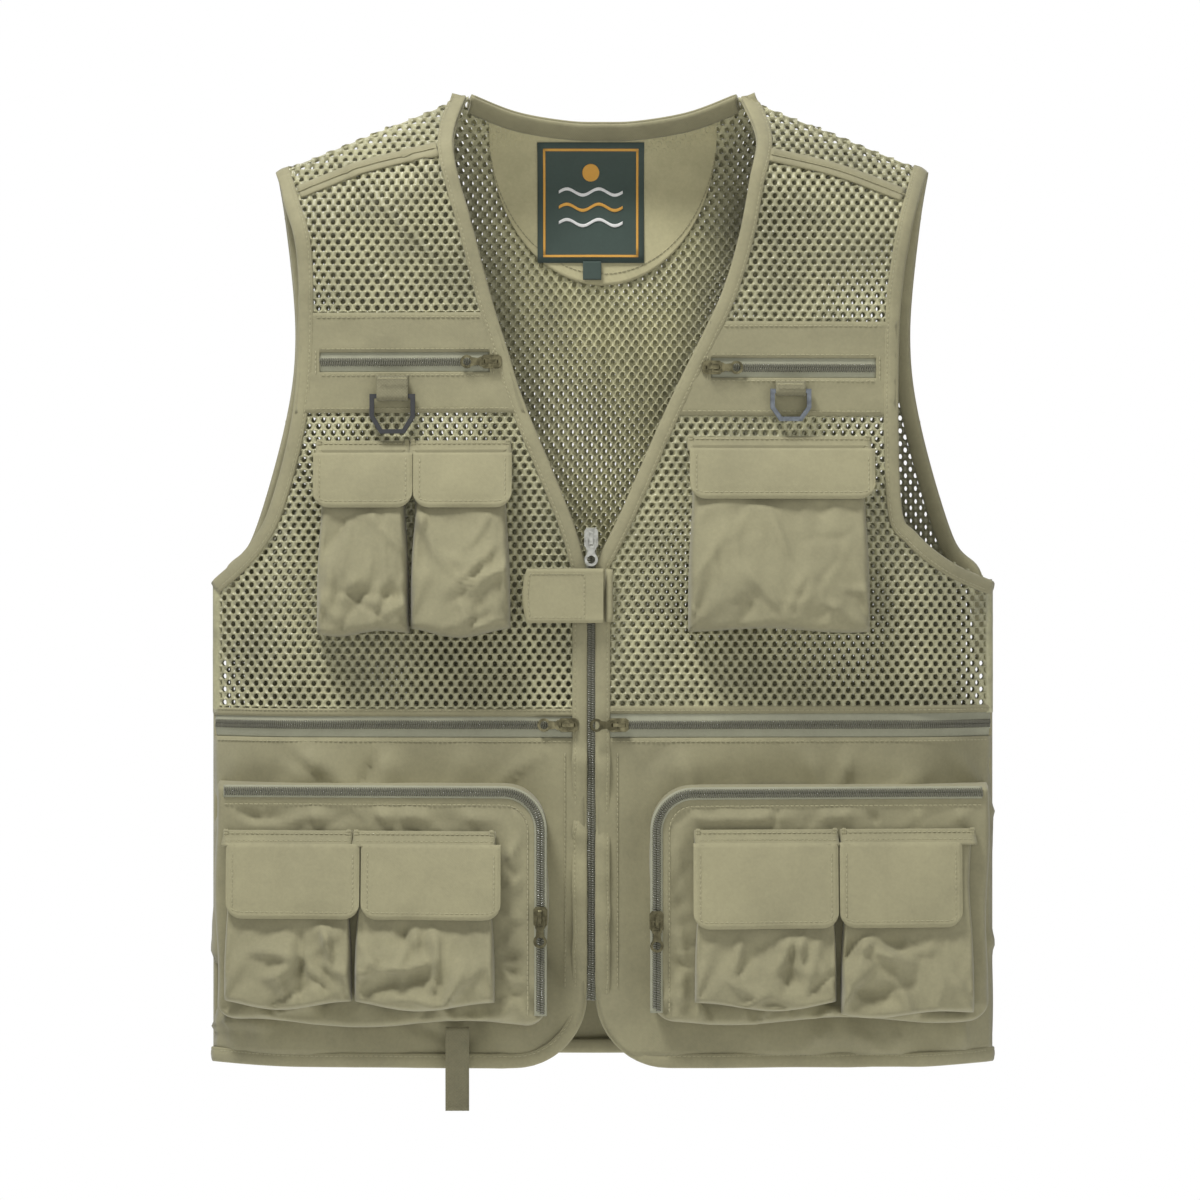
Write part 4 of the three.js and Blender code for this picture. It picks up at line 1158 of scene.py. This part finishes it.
def cargo(name):
    """A big bellows pocket: a padded box with a zip round its lid."""
    sign = SIDES[name]["sign"]
    low, high = box(f"cargo_{name}_shell")
    wide, tall = high[0] - low[0], high[2] - low[2]
    across, down = edge_lines(wide, CARGO_WALL, 2.4), edge_lines(tall, CARGO_WALL, 2.4)
    x, q = cloth_grid(low[0], across, down)
    cut = rounded(np.abs(x - (low[0] if sign > 0 else high[0])), CARGO_RADIUS)
    foot = rounded(np.minimum(np.abs(x - low[0]), np.abs(high[0] - x)), CARGO_FOOT)
    v = q / tall
    u = (x - low[0]) / wide * 2 - 1
    wavy = 2.5 * np.sin(u * 5 + sign) * v ** 4
    z = high[2] - cut * (1 - v) ** 2 - q * (tall - foot * v ** 2) / tall + wavy
    x = x + 2.0 * np.sin(v * 6 + sign) * np.sign(u) * np.abs(u) ** 6 * np.sin(v * math.pi) - u ** 7 * 1.5
    wall = rise(np.minimum(across, wide - across), CARGO_WALL)[None, :]
    wall = wall * rise(np.minimum(q, tall - q), CARGO_WALL)
    quiet = smoothstep((np.minimum(np.minimum(x - low[0], high[0] - x), high[2] - z) - 13) / 14)
    folds = ripples(x, z, 71 + sign, 70, 6) * 1.3 + creases(x, z, 83 + sign, 60, 2.5, 35, 0.5) * 4.2
    folds -= creases(x, z, 91 + sign, 50, 2.8, 140, 0.4) * 3.0
    crush = bag_folds(u, v, 97 + sign, 120) * smoothstep((v - 0.72) / 0.2) * 1.6
    span = (low[0], high[0], low[2], high[2])
    folds += tucks(x, z, span, 107 + sign, 34, 75, 5.5, 5.2, 60 * sign, 0.7)
    folds += tucks(x, z, (low[0], high[0], low[2], low[2] + 50), 117 + sign, 12, 60, 4.5, 5.0, 10, 0.5)
    for pocket in ("inner", "outer"):
        bag_low, bag_high = box(f"cargo_{name}_{pocket}_bag")
        away_x = np.maximum(np.maximum(bag_low[0] - 3 - x, x - bag_high[0] - 3), 0)
        away_z = np.maximum(np.maximum(bag_low[2] + 10 - z, z - bag_high[2] - 2), 0)
        held = smoothstep(1 - np.hypot(away_x, away_z) / 9)
        folds = folds * (1 - held) + np.clip(folds, -1, 0) * held
        crush = crush * (1 - 0.8 * held)
    base = front(np.clip(x, 6 - HALF, HALF - 6), z)
    lid = cargo_plane(x) - 1.2 + folds * quiet + crush * smoothstep((v - 0.72) / 0.2)
    outer = np.stack([x, -(base + 2.6 + (lid - base - 2.6) * wall), z], -1)
    inner = np.stack([x, -(base + 2.0), z], -1)
    piece = closed(f"Cargo_{name}", *slab(outer, inner), looks()["shell"], replaced=[f"cargo_{name}_shell"])
    cargo_zip(name, sign, low, high)


def cargo_zip(name, sign, low, high):
    """The zip that runs down beside the lid and along its top."""
    inset = 5.2
    x_in = (low[0] if sign > 0 else high[0]) + sign * inset
    x_out = (high[0] if sign > 0 else low[0]) - sign * 8.0
    top, r = high[2] - inset, 25.0
    turn = np.radians(np.linspace(0, 90, 14))
    bend = np.stack([x_in + sign * r * (1 - np.cos(turn)), top - r * (1 - np.sin(turn))], 1)
    start = box(f"cargo_{name}_zip")[0][2]
    path = np.vstack([[(x_in, start)], bend, [(x_out, top)]])
    zip_run(f"Cargo_Zip_{name}", path, cargo_plane, 4.2, -1.0, [f"cargo_{name}_zip"])
    inner = moved(even(path, 3), 8.6 * -sign)
    sew(inner[:, 0], inner[:, 1], cargo_plane, -0.6)


def make_pockets():
    for name, (depth, seed) in POCKETS.items():
        bag(name, depth, seed)


def make_cargo():
    for name in SIDES:
        cargo(name)


# ---- Centre zip, tab, strap, loops ----
def make_centre():
    low, high = box("center_zip")
    piece = zip_run("Centre_Zip", [(ZIP_X, high[2]), (ZIP_X, low[2])], front, 3.7, -0.6, ["center_zip"])
    tab()
    strap()
    for name in SIDES:
        ring_loop(name)


TAB_FOOT_X = 3.9
TAB_FOOT_PROFILE = np.array([
    (-2.4, 0.4), (2.4, 0.4), (2.6, 4.0), (2.0, 7.8), (0, 8.4), (-2.0, 7.4), (-2.6, 4.0),
])
WEB_RIBS = 4
LOOP_RADIUS = 2.6


def tab():
    """The closure tab: two layers, topstitched, with a blunt point."""
    low, high = box("closure_tab")
    wide, tall = high[0] - low[0], high[2] - low[2]
    across, down = edge_lines(wide, 5.0, 2.5), edge_lines(tall, 5.0, 2.5)
    x, q = cloth_grid(low[0], across, down)
    mid = (low[2] + high[2]) / 2
    z = high[2] - q
    point = 3.0 * (1 - np.abs((z - mid) / (tall / 2)) ** 2)
    near_end = np.clip(1 - (x - low[0]) / 22, 0, 1) ** 1.5
    x = x + (3.0 - point) * near_end
    r = np.minimum(np.minimum(down, tall - down)[:, None], across[None, :] + 0 * down[:, None])
    rim = 0.4 * np.exp(-((r - 2.0) / 1.6) ** 2) - 0.7 * np.exp(-(r / 1.2) ** 2)
    out = -low[1] + 0.2 + rim + 1.4 * np.sin((x - low[0]) / wide * math.pi) + ripples(x, z, 5, 40, 5) * 0.2
    outer, inner = np.stack([x, -out, z], -1), np.stack([x, -(out - 2.2), z], -1)
    cloth_look = looks()["flap"]
    piece = finish("Closure_Tab", *slab(outer, inner), cloth_look, "closure_tab", replaced=["closure_tab"])
    c0, c1 = nearest(across, 4), nearest(across, 41)
    r0, r1 = nearest(down, 4), nearest(tall - down, 4)
    sides = [outer[r0, c1:c0:-1], outer[r0:r1, c0], outer[r1, c0:c1], outer[r1:r0:-1, c1]]
    path = np.vstack([*sides, outer[r0:r0 + 1, c1]])
    normal = np.tile([0.0, -1.0, 0.0], (len(path), 1))
    note("stitch", "closure_tab", path + normal * 0.1, normal, 3.0)
    path = even(np.array([(TAB_FOOT_X, high[2] - 0.5), (TAB_FOOT_X, low[2] + 0.5)]), 4)
    piece = closed("Tab_Foot", *surface_sweep(path, 1, TAB_FOOT_PROFILE, front, -1), cloth_look)


def strap():
    """The strip of webbing that hangs under a cargo pocket."""
    low, high = box("utility_strap")
    wide, tall = high[0] - low[0], high[2] - low[2]
    across, down = edge_lines(wide, 2.0, 2.0), np.linspace(0, tall, 24)
    x, q = cloth_grid(low[0], across, down)
    z = high[2] - q
    rib = 0.25 * np.cos((x - low[0]) / wide * 2 * math.pi * WEB_RIBS)
    out = -low[1] - 0.6 + rib + 0.7 * np.sin(down[:, None] / 12)
    outer, inner = np.stack([x, -out, z], -1), np.stack([x, -(out - 1.8), z], -1)
    piece = finish("Utility_Strap", *slab(outer, inner), looks()["webbing"], "utility_strap",
                   replaced=["utility_strap"])


def ring_loop(name):
    """Folded webbing that holds a ring, with a bar tack at its root."""
    low, high = box("ring_loop_" + name)
    wide, mid = high[0] - low[0], (high[0] + low[0]) / 2
    _, bar_y, bar_z = pivot("d_ring_" + name)
    run = [(high[2], -low[1] - 4.4)]
    for angle in np.radians(np.linspace(-90, 90, 9)):
        run.append((bar_z - LOOP_RADIUS * math.cos(angle), -bar_y + LOOP_RADIUS * math.sin(-angle)))
    run.append((high[2], -low[1] - 6.8))
    line = even(np.array(run), 1.0)
    across = np.linspace(-wide / 2, wide / 2, 12)
    step = np.gradient(line, axis=0)
    step /= np.linalg.norm(step, axis=1)[:, None] + 1e-9
    out = np.stack([step[:, 1], -step[:, 0]], 1)
    rib = 0.25 * np.cos(across / wide * 2 * math.pi * WEB_RIBS)

    def face(height):
        z = line[:, :1] + out[:, :1] * (height + rib[None, :])
        y = line[:, 1:] + out[:, 1:] * (height + rib[None, :])
        return np.stack([mid + across[None, :] + 0 * z, -y, z], -1)

    piece = closed("Ring_Loop_" + name, *slab(face(0.6), face(-0.5)), looks()["webbing"],
                   replaced=["ring_loop_" + name])
    tack = [(x, low[1], high[2] - 2.0) for x in (mid - wide / 2 + 1, mid + wide / 2 - 1)]
    note("stitch", BODY, np.array(tack), np.tile([0.0, -1.0, 0.0], (2, 1)), 2.2)


# ---- Neck ----
def make_neck():
    m = looks()
    low, high = box("neck_facing")
    half = (high[0] - low[0]) / 2
    top = high[2]
    neck = smooth(BACK_NECK, 40)
    u = np.sin(np.radians(np.linspace(-90, 90, 60)))
    x = u * (half - 0.5)
    upper = np.interp(x, neck[:, 0], neck[:, 1]) - 2
    lower = top - (top - low[2]) * np.sqrt(np.maximum(1 - (x / half) ** 2, 0))
    lower = np.minimum(lower, upper - 2.0)
    t = np.linspace(0, 1, 40)[:, None]
    z = upper + (lower - upper) * t
    x = x + 0 * z
    fold = ripples(x, z, 15, 60, 5) * 0.25
    y = worn_back(x, z)
    outer = np.stack([x, y - 3.0 - fold, z], -1)
    inner = np.stack([x, y - 2.2 - fold, z], -1)
    # The facing's cloth carries painted light: the fabric colour made lighter.
    piece = finish("Neck_Facing", *slab(outer, inner), m["inside"], replaced=["neck_facing"])
    rim = outer[-4, 2:-2]
    note("stitch", BODY, rim - [0, 0.2, 0], np.tile([0.0, -1.0, 0.0], (len(rim), 1)), 3.2)
    label(m)


def patch(name, x0, x1, z0, z1, lift, material, thick=0.5, rows=14, cols=14, shape=None, **more):
    """A small sewn-on piece that lies on the inside of the back."""
    x, z = np.meshgrid(np.linspace(x0, x1, cols), np.linspace(z1, z0, rows))
    if shape:
        x, z = shape(x, z)
    y = worn_back(x, z) - lift - 0.8
    outer, inner = np.stack([x, y, z], -1), np.stack([x, y + thick, z], -1)
    piece = finish(name, *slab(outer, inner), material, **more)
    return piece, outer


LABEL_LIFT, THREAD_LIFT, THREAD_THICK = 3.4, 3.9, 0.6
FRAME_OUT, FRAME_IN = 4.0, 5.6
SUN_RADIUS, SUN_HEIGHT = 6.0, 0.76
WAVE_HEIGHTS = (0.34, 0.47, 0.60)


def label(m):
    """The neck label: a frame, three waves and a disc, with a blank tab under it."""
    low, high = box("neck_label")
    x0, x1, z0, z1 = low[0], high[0], low[2], high[2]
    piece, outer = patch("Neck_Label", x0, x1, z0, z1, LABEL_LIFT, m["label"], 0.9, replaced=["neck_label"])
    bars = [
        (x0 + FRAME_OUT, x1 - FRAME_OUT, z1 - FRAME_IN, z1 - FRAME_OUT),
        (x0 + FRAME_OUT, x1 - FRAME_OUT, z0 + FRAME_OUT, z0 + FRAME_IN),
        (x0 + FRAME_OUT, x0 + FRAME_IN, z0 + FRAME_IN, z1 - FRAME_IN),
        (x1 - FRAME_IN, x1 - FRAME_OUT, z0 + FRAME_IN, z1 - FRAME_IN),
    ]
    for k, bar in enumerate(bars):
        patch(f"Label_Frame_{k}", *bar, THREAD_LIFT, m["label_line"], THREAD_THICK)
    mid, wide = (x0 + x1) / 2, (x1 - x0) * 0.30

    def wave(x, z):
        return x, z + 2.2 * np.sin((x - mid) / wide * 2 * math.pi)

    for k, height in enumerate(WAVE_HEIGHTS):
        centre = z0 + (z1 - z0) * height
        thread = m["label_line" if k == 1 else "label_pale"]
        patch(f"Label_Wave_{k}", mid - wide, mid + wide, centre - 1.1, centre + 1.1, THREAD_LIFT,
              thread, THREAD_THICK, 4, 40, wave)
    r, cz = SUN_RADIUS, z0 + (z1 - z0) * SUN_HEIGHT

    def disc(x, z):
        u, v = (x - mid) / r, (z - cz) / r
        return mid + r * u * np.sqrt(1 - v ** 2 / 2), cz + r * v * np.sqrt(1 - u ** 2 / 2)

    patch("Label_Sun", mid - r, mid + r, cz - r, cz + r, THREAD_LIFT,
          m["label_line"], THREAD_THICK, 12, 12, disc)
    patch("Size_Tab", -14, -1, -118, -105, 4.2, m["label"], 0.8)


# ---- Hardware that comes from the frame ----
HARDWARE = {
    "center_zip_slider": "steel",
    "center_zip_puller": "steel",
    "d_ring_right": "plastic",
    # The left ring's paler finish is partly a painted highlight.
    "d_ring_left": "gunmetal_painted_glare",
}


def make_hardware():
    """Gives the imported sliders, pullers and rings their finishes."""
    m = looks()
    for node, piece in frame["nodes"].items():
        if not piece.hide_render:
            piece.data.materials.clear()
            piece.data.materials.append(m[HARDWARE.get(node, "brass")])


# ---- Stitches and teeth ----
def small_shape(name, rings, sides, material):
    """A little rod along X whose rings are (place, width, height, rise)."""
    verts = []
    turn = np.radians(np.arange(sides) * 360 / sides)
    for place, wide, tall, up in rings:
        verts.append(np.stack([np.full(sides, place), wide * np.cos(turn), up + tall * np.sin(turn)], 1))
    mesh = bpy.data.meshes.new(name)
    mesh.from_pydata((np.vstack(verts) * MM).tolist(), [], tube_quads(len(rings), sides).tolist())
    held = bmesh.new()
    held.from_mesh(mesh)
    bmesh.ops.holes_fill(held, edges=held.edges, sides=0)
    bmesh.ops.recalc_face_normals(held, faces=held.faces)
    held.to_mesh(mesh)
    held.free()
    mesh.shade_smooth()
    mesh.materials.append(material)
    made = bpy.data.objects.new(name, mesh)
    bpy.context.scene.collection.objects.link(made)
    return made


def repeat_tree():
    """Puts a shape at each point, along one direction and facing another."""
    tree = bpy.data.node_groups.new("Repeat_Along", "GeometryNodeTree")
    socket(tree, "Geometry", "NodeSocketGeometry")
    socket(tree, "Shape", "NodeSocketObject")
    socket(tree, "Size", "NodeSocketFloat", 1.0)
    socket(tree, "Unevenness", "NodeSocketFloat", 0.1)
    socket(tree, "Finish", "NodeSocketMaterial")
    socket(tree, "Geometry", "NodeSocketGeometry", way="OUTPUT")
    t = Tree(tree)
    given = t.node("NodeGroupInput")
    along = t.node("GeometryNodeInputNamedAttribute", {"Name": "along"}, data_type="FLOAT_VECTOR")
    facing = t.node("GeometryNodeInputNamedAttribute", {"Name": "facing"}, data_type="FLOAT_VECTOR")
    first = t.node("FunctionNodeAlignRotationToVector", {"Vector": along.outputs["Attribute"]}, axis="X")
    second = t.node(
        "FunctionNodeAlignRotationToVector",
        {"Rotation": first.outputs[0], "Vector": facing.outputs["Attribute"]},
        axis="Z", pivot_axis="X",
    )
    shape = t.node("GeometryNodeObjectInfo", {"Object": given.outputs["Shape"]})
    low = t.math("SUBTRACT", given.outputs["Size"], given.outputs["Unevenness"])
    high = t.math("ADD", given.outputs["Size"], given.outputs["Unevenness"])
    size = t.node("FunctionNodeRandomValue", {2: low, 3: high, 8: 7}, data_type="FLOAT")
    placed = t.node("GeometryNodeInstanceOnPoints", {
        "Points": given.outputs["Geometry"],
        "Instance": shape.outputs["Geometry"],
        "Rotation": second.outputs[0],
        "Scale": size.outputs[1],
    })
    real = t.node("GeometryNodeRealizeInstances", {"Geometry": placed.outputs[0]})
    links = {"Geometry": real.outputs[0], "Material": given.outputs["Finish"]}
    painted = t.node("GeometryNodeSetMaterial", links)
    t.node("NodeGroupOutput", {"Geometry": painted.outputs[0]})
    return tree


def repeat(name, body, rows, shape, material, unevenness):
    """One plain mesh of every copy of a shape on one body."""
    tree = group_named("Repeat_Along", repeat_tree)
    points = bpy.data.meshes.new(name)
    points.vertices.add(len(rows))
    points.vertices.foreach_set("co", (rows[:, :3] * MM).ravel())
    for label_, part in (("facing", rows[:, 3:6]), ("along", rows[:, 6:9])):
        layer = points.attributes.new(label_, "FLOAT_VECTOR", "POINT")
        layer.data.foreach_set("vector", part.astype(np.float32).ravel())
    holder = bpy.data.objects.new(name + "_points", points)
    bpy.context.scene.collection.objects.link(holder)
    modifier = holder.modifiers.new("Repeat", "NODES")
    modifier.node_group = tree
    values = {"Shape": shape, "Size": 1.0, "Unevenness": unevenness, "Finish": material}
    for item in tree.interface.items_tree:
        if item.item_type == "SOCKET" and item.in_out == "INPUT" and item.name in values:
            modifier[item.identifier] = values[item.name]
    bpy.context.view_layer.update()
    graph = bpy.context.evaluated_depsgraph_get()
    mesh = bpy.data.meshes.new_from_object(holder.evaluated_get(graph))
    bpy.data.objects.remove(holder)
    piece = bpy.data.objects.new(name, mesh)
    bpy.context.scene.collection.objects.link(piece)
    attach(piece, body)
    return piece


STITCH_RINGS = [
    (-1.35, 0.12, 0.1, -0.1), (-1.0, 0.36, 0.26, 0.04), (0, 0.42, 0.32, 0.14), (1.0, 0.36, 0.26, 0.04),
    (1.35, 0.12, 0.1, -0.1),
]
TOOTH_RINGS = [
    (-0.62, 0.9, 0.2, 0.0), (-0.45, 1.55, 0.55, 0.35), (0.0, 1.7, 0.62, 0.6), (0.45, 1.55, 0.55, 0.35),
    (0.62, 0.9, 0.2, 0.0),
]


def make_sewing():
    m = looks()
    stitch = small_shape("Stitch_Shape", STITCH_RINGS, 5, m["thread"])
    tooth = small_shape("Tooth_Shape", TOOTH_RINGS, 6, m["coil"])
    shapes = {
        "stitch": (stitch, m["thread"], 0.12, "edge_binding"),
        "tooth": (tooth, m["coil"], 0.02, "zip_chain"),
    }
    for (kind, body), runs in sorted(SEWN.items()):
        shape, material, uneven, slot_name = shapes[kind]
        title = "Stitches_" if kind == "stitch" else "Teeth_"
        piece = repeat(title + body, body, np.vstack(runs), shape, material, uneven)
    for shape, *_ in shapes.values():
        bpy.data.objects.remove(shape)


# ---- Stage ----
FLOOR_HALF, FLOOR_LEVEL, FLOOR_GLOW = 6.0, -1.65, 0.35
LIGHTS_AIM = (0, 0, -0.35)
# Where each lamp stands, how wide it is, and its share of the key's power.
LAMPS = {
    "Key": ((-0.85, -1.05, 2.1), 0.7, 1.0),
    "Fill": ((1.9, -2.2, 0.6), 2.0, 0.20),
    "Front": ((0.0, -3.6, -0.2), 1.2, 0.20),
    "Rear": ((0.4, 2.4, 1.4), 2.2, 0.4),
}
CAMERA_X, CAMERA_FAR, CAMERA_EXTRA = -0.002, 3.2, 0.06
SENSOR = 36


def make_floor():
    mesh = bpy.data.meshes.new("Floor")
    square = ((-1, -1), (1, -1), (1, 1), (-1, 1))
    mesh.from_pydata([(x * FLOOR_HALF, y * FLOOR_HALF, FLOOR_LEVEL) for x, y in square], [], [(0, 1, 2, 3)])
    floor = bpy.data.objects.new("Floor", mesh)
    bpy.context.scene.collection.objects.link(floor)
    mesh.materials.append(cloth("Studio_Paper", (0.96, 0.96, 0.96), 0.01, 0.004, 0.02, 0.0))
    paper = next(n for n in mesh.materials[0].node_tree.nodes if n.type == "BSDF_PRINCIPLED")
    paper.inputs["Emission Color"].default_value = (1, 1, 1, 1)
    paper.inputs["Emission Strength"].default_value = FLOOR_GLOW


def make_world(ambient):
    """White to the camera, and a softer white to the vest."""
    world = bpy.data.worlds.new("Studio")
    world.use_nodes = True
    bpy.context.scene.world = world
    t = Tree(world.node_tree)
    t.tree.nodes.clear()
    path = t.node("ShaderNodeLightPath")
    soft = t.node("ShaderNodeBackground", {"Color": (1, 1, 1, 1), "Strength": ambient})
    plain = t.node("ShaderNodeBackground", {"Color": (1, 1, 1, 1), "Strength": 1.0})
    links = {0: path.outputs["Is Camera Ray"], 1: soft.outputs[0], 2: plain.outputs[0]}
    both = t.node("ShaderNodeMixShader", links)
    t.node("ShaderNodeOutputWorld", {"Surface": both.outputs[0]})


def make_lamps(key):
    for name, (place, wide, share) in LAMPS.items():
        lamp = bpy.data.lights.new(name, "AREA")
        lamp.energy, lamp.size = key * share, wide
        holder = bpy.data.objects.new(name, lamp)
        holder.location = place
        aim = Vector(LIGHTS_AIM) - Vector(place)
        holder.rotation_euler = aim.to_track_quat("-Z", "Y").to_euler()
        bpy.context.scene.collection.objects.link(holder)


def make_camera(frame_width, height):
    scene = bpy.context.scene
    view = bpy.data.cameras.new("Camera")
    camera = bpy.data.objects.new("Camera", view)
    view.lens = SENSOR * CAMERA_FAR / frame_width
    view.sensor_width = SENSOR
    view.clip_end = 50
    camera.location = (CAMERA_X, -CAMERA_FAR - CAMERA_EXTRA, height)
    camera.rotation_euler = (math.pi / 2, 0, 0)
    scene.collection.objects.link(camera)
    scene.camera = camera
    scene.view_settings.view_transform = "Standard"


def make_stage():
    s = bpy.context.scene.vest_stage
    make_floor()
    make_world(s.ambient)
    make_lamps(s.key)
    make_camera(s.frame_width, s.frame_height)


# ---- Settings, operators and panel ----
class VestSizes(bpy.types.PropertyGroup):
    net_width: bpy.props.FloatProperty(
        name="Net Width", description="Distance between holes across the net", default=0.0067,
        min=0.004, max=0.02, unit="LENGTH")
    net_height: bpy.props.FloatProperty(
        name="Net Height", description="Distance between rows of holes", default=0.0045,
        min=0.003, max=0.02, unit="LENGTH")
    net_hole: bpy.props.FloatProperty(
        name="Hole Share", description="Half a hole's width as a share of the net width", default=0.25,
        min=0.1, max=0.4, subtype="FACTOR")


class VestColors(bpy.types.PropertyGroup):
    fabric: bpy.props.FloatVectorProperty(
        name="Fabric", description="Plain cloth colour", default=(0.545, 0.527, 0.415), size=3,
        subtype="COLOR_GAMMA")
    net: bpy.props.FloatVectorProperty(
        name="Net", description="Colour of the net strands", default=(0.62, 0.608, 0.475), size=3,
        subtype="COLOR_GAMMA")
    tape: bpy.props.FloatVectorProperty(
        name="Zip Tape", description="Colour of the zip tapes", default=(0.575, 0.575, 0.495), size=3,
        subtype="COLOR_GAMMA")
    coil: bpy.props.FloatVectorProperty(
        name="Zip Coil", description="Colour of the zip teeth", default=(0.40, 0.395, 0.335), size=3,
        subtype="COLOR_GAMMA")


class VestStage(bpy.types.PropertyGroup):
    frame_width: bpy.props.FloatProperty(
        name="Frame Width", description="How much the camera takes in at the vest", default=0.816,
        unit="LENGTH")
    frame_height: bpy.props.FloatProperty(
        name="Camera Height", description="Height of the camera from the neck", default=-0.3434,
        unit="LENGTH")
    key: bpy.props.FloatProperty(
        name="Key Power", description="Power of the main light", default=80.0, unit="POWER")
    ambient: bpy.props.FloatProperty(
        name="Ambient", description="Light from all round", default=0.27, min=0.0)


class VEST_OT_net(bpy.types.Operator):
    """Make the knitted net of the fronts and back"""
    bl_idname = "vest.net"
    bl_label = "Net"

    def execute(self, context):
        make_net()
        return {"FINISHED"}


class VEST_OT_panels(bpy.types.Operator):
    """Make the plain bands, zips and lower panels"""
    bl_idname = "vest.panels"
    bl_label = "Panels"

    def execute(self, context):
        make_panels()
        return {"FINISHED"}


class VEST_OT_bindings(bpy.types.Operator):
    """Bind the neck, fronts, armholes and hem"""
    bl_idname = "vest.bindings"
    bl_label = "Bindings"

    def execute(self, context):
        make_bindings()
        return {"FINISHED"}


class VEST_OT_cargo(bpy.types.Operator):
    """Make the two big bellows pockets"""
    bl_idname = "vest.cargo"
    bl_label = "Cargo Pockets"

    def execute(self, context):
        make_cargo()
        return {"FINISHED"}


class VEST_OT_pockets(bpy.types.Operator):
    """Make the slack pockets and their flaps"""
    bl_idname = "vest.pockets"
    bl_label = "Pockets"

    def execute(self, context):
        make_pockets()
        return {"FINISHED"}


class VEST_OT_centre(bpy.types.Operator):
    """Make the centre zip, tab, strap and ring loops"""
    bl_idname = "vest.centre"
    bl_label = "Closures"

    def execute(self, context):
        make_centre()
        return {"FINISHED"}


class VEST_OT_neck(bpy.types.Operator):
    """Make the neck facing and label"""
    bl_idname = "vest.neck"
    bl_label = "Neck"

    def execute(self, context):
        make_neck()
        return {"FINISHED"}


class VEST_OT_hardware(bpy.types.Operator):
    """Finish the sliders, pulls and rings"""
    bl_idname = "vest.hardware"
    bl_label = "Hardware"

    def execute(self, context):
        make_hardware()
        return {"FINISHED"}


class VEST_OT_sewing(bpy.types.Operator):
    """Sew the stitches and zip teeth"""
    bl_idname = "vest.sewing"
    bl_label = "Sewing"

    def execute(self, context):
        make_sewing()
        return {"FINISHED"}


class VEST_OT_stage(bpy.types.Operator):
    """Set the floor, light and camera"""
    bl_idname = "vest.stage"
    bl_label = "Stage"

    def execute(self, context):
        make_stage()
        return {"FINISHED"}


# In the order that they are called.
OPERATORS = [
    VEST_OT_net, VEST_OT_panels, VEST_OT_bindings, VEST_OT_cargo, VEST_OT_pockets,
    VEST_OT_centre, VEST_OT_neck, VEST_OT_hardware, VEST_OT_sewing, VEST_OT_stage,
]


class VEST_PT_panel(bpy.types.Panel):
    """Lists the vest's operators and settings"""
    bl_label = "Fishing Vest"
    bl_idname = "VEST_PT_panel"
    bl_space_type = "VIEW_3D"
    bl_region_type = "UI"
    bl_category = "Vest"

    def draw(self, context):
        for group in ("vest_sizes", "vest_colors", "vest_stage"):
            settings = getattr(context.scene, group)
            for key in settings.bl_rna.properties.keys():
                if key not in ("rna_type", "name"):
                    self.layout.prop(settings, key)
        for operator in OPERATORS:
            self.layout.operator(operator.bl_idname)


SETTINGS = {"vest_sizes": VestSizes, "vest_colors": VestColors, "vest_stage": VestStage}


def register():
    for made in (*SETTINGS.values(), *OPERATORS, VEST_PT_panel):
        bpy.utils.register_class(made)
    for name, made in SETTINGS.items():
        setattr(bpy.types.Scene, name, bpy.props.PointerProperty(type=made))


def unregister():
    for name in SETTINGS:
        delattr(bpy.types.Scene, name)
    for made in reversed((*SETTINGS.values(), *OPERATORS, VEST_PT_panel)):
        bpy.utils.unregister_class(made)


def corners(bounds):
    """A box's two corners as plain numbers."""
    return [[float(v) for v in corner] for corner in bounds]


def main():
    """Makes every piece in order."""
    register()
    for operator in OPERATORS:
        getattr(bpy.ops.vest, operator.bl_idname.split(".")[1])()


if __name__ == "__main__":
    main()
